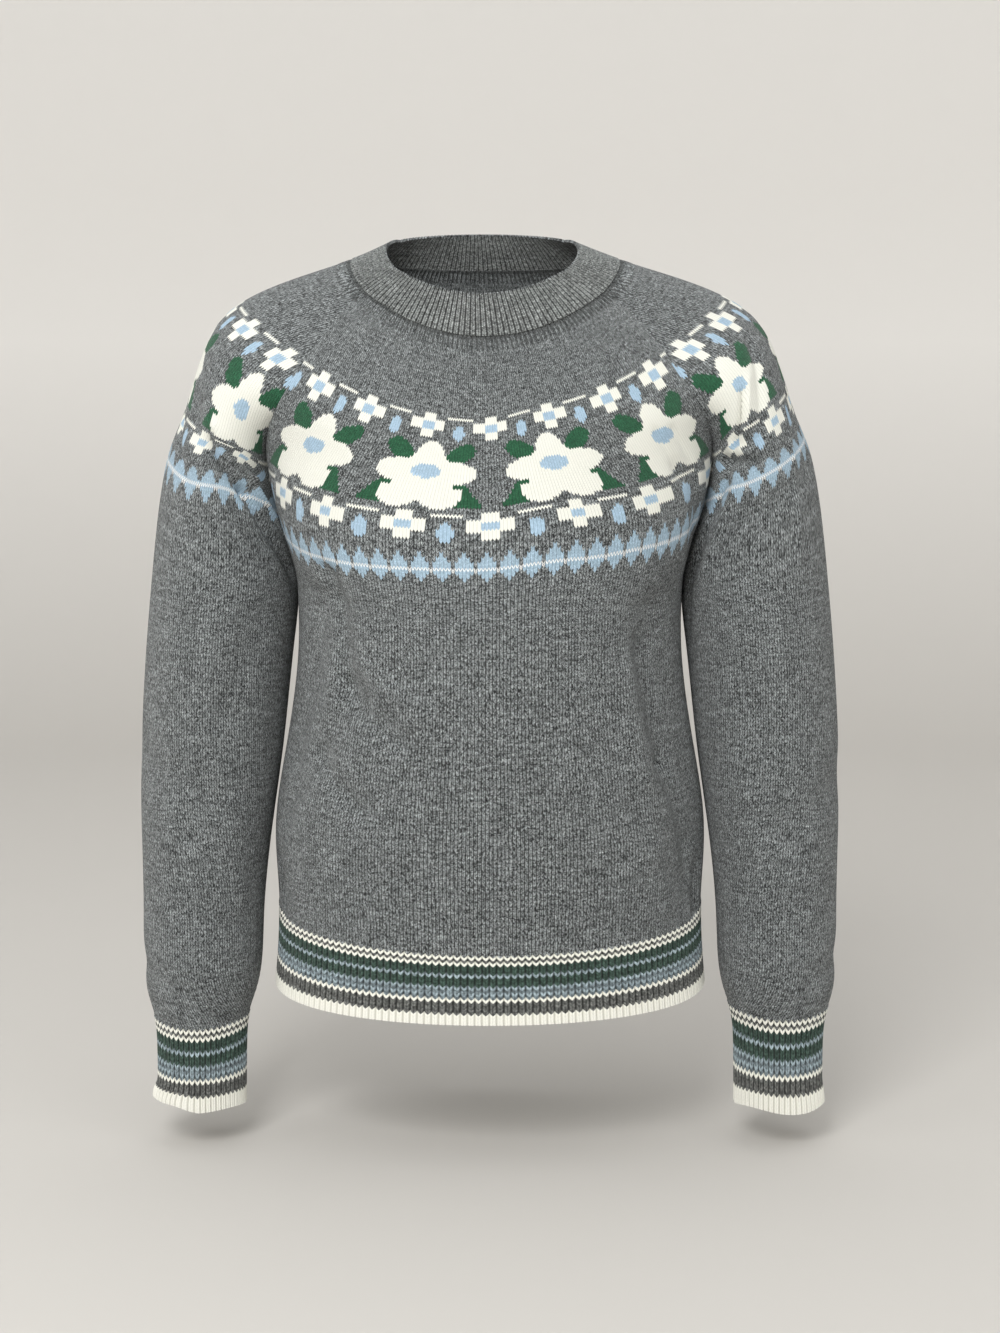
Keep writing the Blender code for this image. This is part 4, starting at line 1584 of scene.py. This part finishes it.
@dataclass(frozen=True)
class KnitFinish:
    """A knitted finish: how deep its loops are, how steep their legs, how much painted shade darkens
    the grooves between them, and how it shines.
    """

    name: str
    slant: float = 0.98
    fall: float = 1.0
    # Painted shade: how far the colour darkens in the grooves between loops, for plain and for heather
    # yarn
    groove_shade_plain: float = 0.20
    groove_shade_heather: float = 1.0
    bump_depth: float = 0.0007
    bump_strength: float = 0.7
    roughness: float = 0.95
    sheen: float = 0.12
    sheen_roughness: float = 0.45
    specular: float = 0.25
    strand_half: float = 0.42
    strand_run: tuple[float, float] = (-0.9, 0.95)
    strand_colour: tuple[float, float, float] = (0.95, 0.95, 0.93)

    def build(self, loops: bpy.types.NodeTree, heather: bpy.types.NodeTree) -> bpy.types.Material:
        """Make the material.

        Args:
            loops: the stitch group.
            heather: the heather group.

        Returns:
            The finished material.
        """
        material = bpy.data.materials.new(self.name)
        material.use_nodes = True
        tree = material.node_tree
        pad = NodePad(tree)
        knit = pad.node("Group", node_tree=loops)
        pad.fill(knit, {"Slant": self.slant, "Fall": self.fall})
        own = knit.outputs["Own Course"]
        here = pad.node("Attribute", attribute_name=HERE).outputs
        above = pad.node("Attribute", attribute_name=ABOVE).outputs
        amount = pad.between(own, above["Alpha"], here["Alpha"])
        mottled = pad.node("Group", node_tree=heather)
        pad.fill(mottled, {"Colour": pad.blend(own, above["Color"], here["Color"]),
                           "Amount": amount, "Leg": knit.outputs["Leg"]})
        laid = self._lay_strand(pad, knit, mottled.outputs["Colour"])
        # Painted shade: the colour is darkened where the loops' relief falls into the grooves between
        # them
        groove_shade = pad.between(amount, self.groove_shade_plain, self.groove_shade_heather)
        hollow = pad.math("SUBTRACT", 1.0, knit.outputs["Relief"])
        shade = pad.math("SUBTRACT", 1.0, pad.math("MULTIPLY", groove_shade, hollow))
        bump = pad.node("Bump")
        pad.fill(bump, {"Strength": self.bump_strength, "Distance": self.bump_depth,
                        "Height": knit.outputs["Relief"]})
        pad.fill(tree.nodes["Principled BSDF"], {
            "Base Color": pad.vector("SCALE", {0: laid, "Scale": shade}),
            "Normal": bump.outputs[0],
            "Roughness": self.roughness,
            "Sheen Weight": self.sheen,
            "Sheen Roughness": self.sheen_roughness,
            "Specular IOR Level": self.specular,
        })
        return material

    def _lay_strand(self, pad: NodePad, knit: bpy.types.Node,
                    colour: bpy.types.NodeSocket) -> bpy.types.NodeSocket:
        """Lay the thin strand over the loops that carry it.

        Args:
            pad: the material's pad.
            knit: the stitch group's node.
            colour: the loops' colour.

        Returns:
            The colour with the strand.
        """
        marks = pad.parts(pad.node("Attribute", attribute_name=STRAND).outputs["Vector"])
        marked = pad.between(knit.outputs["Own Course"], marks[1], marks[0])
        zigzag = pad.math("MULTIPLY_ADD", knit.outputs["Aside"], *self.strand_run)
        centred = pad.math("ABSOLUTE", pad.math("SUBTRACT", knit.outputs["Along"], zigzag))
        thin = pad.math("LESS_THAN", centred, self.strand_half)
        return pad.blend(pad.math("MULTIPLY", marked, thin), colour, (*self.strand_colour, 1.0))


@dataclass(frozen=True)
class AreaLamp:
    """A soft square lamp that looks at the sweater."""

    name: str
    place: tuple[float, float, float]
    size: float
    power: float
    colour: tuple[float, float, float]
    aim: tuple[float, float, float] = (0.0, 0.0, -0.33)

    def build(self) -> None:
        """Hang the lamp and turn it towards its aim."""
        data = bpy.data.lights.new(self.name, "AREA")
        data.size = self.size
        data.energy = self.power
        data.color = self.colour
        lamp = bpy.data.objects.new(self.name, data)
        bpy.context.scene.collection.objects.link(lamp)
        lamp.location = self.place
        away = lamp.location - type(lamp.location)(self.aim)
        lamp.rotation_euler = away.to_track_quat("Z", "Y").to_euler()


@dataclass(frozen=True)
class Studio:
    """Plain pale floor, soft light, and the camera at the photograph's angle."""

    lamps: tuple[AreaLamp, ...]
    floor_height: float = -0.72
    floor_hole: float = 0.02
    floor_radius: float = 2.4
    cove_radius: float = 1.3
    cove_steps: int = 12
    corners: int = 96
    wall_top: float = 2.6
    # Painted shade: the floor is painted darker than the wall, so the backdrop darkens towards its foot
    floor_colour: tuple[float, float, float] = (0.56, 0.54, 0.51)
    wall_colour: tuple[float, float, float] = (0.86, 0.84, 0.81)
    wall_blend: float = 0.9
    cloud_colour: tuple[float, float, float] = (0.5, 0.5, 0.5)
    cloud_scale: float = 1.5
    cloud_share: float = 0.04
    paint_roughness: float = 0.9
    air_colour: tuple[float, float, float] = (0.625, 0.63, 0.63)
    air_strength: float = 1.5
    camera_place: tuple[float, float, float] = (0.009, -1.55, -0.20)
    camera_tilt: float = 5.2
    focal: float = 52.31
    film_height: float = 36.0
    nearest: float = 0.01

    def build(self) -> None:
        """Set up floor, lamps, surrounding air and camera."""
        for lamp in self.lamps:
            lamp.build()
        self._floor()
        self._air()
        self._camera()

    def _profile(self) -> list[tuple[float, float]]:
        """The cove's section: level floor, a round turn, and a wall.

        Returns:
            Distances from the middle and heights.
        """
        line = [(self.floor_hole, self.floor_height), (self.floor_radius / 2, self.floor_height)]
        for k in range(self.cove_steps + 1):
            angle = math.radians(90 / self.cove_steps * k)
            line.append((self.floor_radius + self.cove_radius * math.sin(angle),
                         self.floor_height + self.cove_radius * (1 - math.cos(angle))))
        return line + [(self.floor_radius + self.cove_radius, self.wall_top)]

    def _floor(self) -> None:
        """Lay the round floor with its wall, in one pale finish."""
        around = self.corners
        vertices = []
        faces = []
        profile = self._profile()
        for radius, height in profile:
            for k in range(around):
                angle = 2 * math.pi * k / around
                vertices.append((radius * math.cos(angle), radius * math.sin(angle), height))
        for ring in range(len(profile) - 1):
            for k in range(around):
                after = (k + 1) % around
                faces.append((ring * around + k, ring * around + after,
                              (ring + 1) * around + after, (ring + 1) * around + k))
        faces.append(tuple(range(around - 1, -1, -1)))
        mesh = bpy.data.meshes.new("floor")
        mesh.from_pydata(vertices, [], faces)
        mesh.shade_smooth()
        mesh.materials.append(self._paint())
        floor = bpy.data.objects.new("floor", mesh)
        bpy.context.scene.collection.objects.link(floor)

    def _paint(self) -> bpy.types.Material:
        """Make the floor's and wall's pale paint.

        Returns:
            The material, which turns from the darker floor paint to the lighter wall paint with its
            height; the darker floor is painted shade.
        """
        material = bpy.data.materials.new("pale floor")
        material.use_nodes = True
        pad = NodePad(material.node_tree)
        cloudy = pad.node("TexNoise")
        pad.feed(cloudy.inputs["Scale"], self.cloud_scale)
        height = pad.parts(pad.node("NewGeometry").outputs["Position"])[2]
        rise = pad.math("DIVIDE", pad.math("SUBTRACT", height, self.floor_height), self.wall_blend)
        # Painted shade: darker paint low on the floor, lighter paint up the wall
        paint = pad.blend(pad.math("MINIMUM", rise, 1.0), (*self.floor_colour, 1.0),
                          (*self.wall_colour, 1.0))
        veil = pad.math("MULTIPLY", cloudy.outputs[0], self.cloud_share)
        pad.fill(material.node_tree.nodes["Principled BSDF"], {
            "Base Color": pad.blend(veil, paint, (*self.cloud_colour, 1.0)),
            "Roughness": self.paint_roughness,
        })
        return material

    def _air(self) -> None:
        """Fill the room with even light."""
        world = bpy.data.worlds.new("studio air")
        world.use_nodes = True
        shader = world.node_tree.nodes["Background"]
        shader.inputs["Color"].default_value = (*self.air_colour, 1.0)
        shader.inputs["Strength"].default_value = self.air_strength
        bpy.context.scene.world = world

    def _camera(self) -> None:
        """Set the camera where the photograph was taken from."""
        data = bpy.data.cameras.new("camera")
        data.sensor_fit = "VERTICAL"
        data.sensor_height = self.film_height
        data.lens = self.focal
        data.clip_start = self.nearest
        camera = bpy.data.objects.new("camera", data)
        bpy.context.scene.collection.objects.link(camera)
        camera.location = self.camera_place
        camera.rotation_euler = (math.radians(90 - self.camera_tilt), 0, 0)
        bpy.context.scene.camera = camera
        bpy.context.scene.view_settings.view_transform = "Standard"


GREEN3 = (Yarn.HEM_GREEN,) * 3
STRIPES = (Yarn.HEM_CREAM, Yarn.HEM_GREY, Yarn.HEM_CREAM, *GREEN3, Yarn.HEM_BLUE, *GREEN3,
           Yarn.HEM_BLUE, Yarn.HEM_DUSK, Yarn.HEM_BLUE, Yarn.HEM_DUSK, Yarn.HEM_CREAM,
           *(Yarn.HEM_GREY,) * 4)
HEM_COURSES = (*STRIPES, *(Yarn.HEM_CREAM,) * 4)
CUFF_COURSES = (*STRIPES, *(Yarn.HEM_CREAM,) * 5)
NECK_COURSES = (Yarn.NECK_GREY,) * 19

LAMPS = (
    AreaLamp("key", (-0.60, -1.95, 1.15), 1.0, 43.0, (1.0, 1.0, 0.99)),
    AreaLamp("side", (-2.0, -0.9, 0.1), 0.8, 4.0, (1.0, 0.995, 0.98)),
    AreaLamp("fill", (1.6, -1.7, 0.3), 1.4, 5.0, (0.95, 0.97, 1.0)),
)


@dataclass(frozen=True)
class Sweater:
    """The whole sweater: four jersey panels, the neckband, two hem ribs and two cuffs."""

    chart: YokeChart
    jersey: KnitFinish
    rib: KnitFinish
    left_cuff_seam: float = 0.6285
    right_cuff_seam: float = 0.6205

    def panels(self) -> tuple[JerseyPanel, ...]:
        """The four jersey panels."""
        rows = (
            ("front_jersey", "front_panel", "front_knit", (0.47, 0.56), 0.215,
             FRONT, HEM_SEAM, 50),
            ("back_jersey", "back_panel", "back_knit", (0.47, 0.58), 0.22,
             BACK, HEM_SEAM, 50),
            ("left_sleeve_jersey", "left_sleeve", "left_sleeve_knit", (0.40, 0.63), 0.19,
             LEFT, self.left_cuff_seam, 62),
            ("right_sleeve_jersey", "right_sleeve", "right_sleeve_knit", (0.40, 0.63), 0.19,
             RIGHT, self.right_cuff_seam, 62),
        )
        return tuple(JerseyPanel(PieceLabel(*row[:5], ("neckband",)), *row[5:]) for row in rows)

    def bands(self) -> tuple[RibBand, ...]:
        """The neckband, the hem ribs and the cuffs."""
        hem = dict(start=HEM_SEAM, end=HEM_EDGE, courses=HEM_COURSES, ring=False)
        return (
            RibBand(PieceLabel("neckband", "neckband_rib", "neckband_knit",
                               (0.58, 0.034), 0.0165, ("front_jersey",)),
                    (RibRun(FRONT, False, 51), RibRun(RIGHT, True, 31), RibRun(BACK, True, 51),
                     RibRun(LEFT, False, 31)),
                    NECK_EDGE, NECK_SEAM, NECK_COURSES, -1),
            RibBand(PieceLabel("front_hem", "front_hem_rib", "front_hem_knit",
                               (0.48, 0.056), 0.0255, ("front_jersey",)),
                    (RibRun(FRONT, False, 84),), turn=-1, **hem),
            RibBand(PieceLabel("back_hem", "back_hem_rib", "back_hem_knit",
                               (0.48, 0.058), 0.0265, ("back_jersey",)),
                    (RibRun(BACK, False, 84),), turn=1, **hem),
            CuffRib(PieceLabel("left_cuff", "left_cuff_rib", "left_cuff_knit",
                               (0.23, 0.07), 0.0145, ("left_sleeve_jersey",)),
                    (RibRun(LEFT, False, 50),), self.left_cuff_seam, CUFF_EDGE, CUFF_COURSES, -1,
                    kink_share=0.12, kink_rise=0.006, flare=0.004, wave=0.001),
            CuffRib(PieceLabel("right_cuff", "right_cuff_rib", "right_cuff_knit",
                               (0.23, 0.078), 0.016, ("right_sleeve_jersey",)),
                    (RibRun(RIGHT, False, 50),), self.right_cuff_seam, CUFF_EDGE, CUFF_COURSES, 1,
                    kink_share=0.1, kink_rise=0.0, flare=0.002, wave=0.0018),
        )

    def build(self) -> list[bpy.types.Object]:
        """Knit every piece.

        Returns:
            The finished pieces.
        """
        loops = StitchGroup().build()
        heather = HeatherGroup().build()
        jersey = self.jersey.build(loops, heather)
        rib = self.rib.build(loops, heather)
        pieces = [panel.build(self.chart, jersey) for panel in self.panels()]
        pieces += [band.build(rib) for band in self.bands()]
        return pieces


def main() -> None:
    """Build the studio and the sweater, and log each piece."""
    logging.basicConfig(level=logging.INFO, format="%(name)s: %(message)s")
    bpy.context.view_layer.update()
    Studio(LAMPS).build()
    pieces = Sweater(
        chart=YokeChart(),
        jersey=KnitFinish("wool jersey"),
        # The rib gets stronger painted shade in its grooves than the jersey
        rib=KnitFinish("wool rib", slant=0.98, fall=1.4, groove_shade_plain=0.2, groove_shade_heather=1.2,
                       bump_depth=0.0006),
    ).build()
    for piece in pieces:
        LOG.info("%s is dressed", piece.name)


if __name__ == "__main__":
    main()
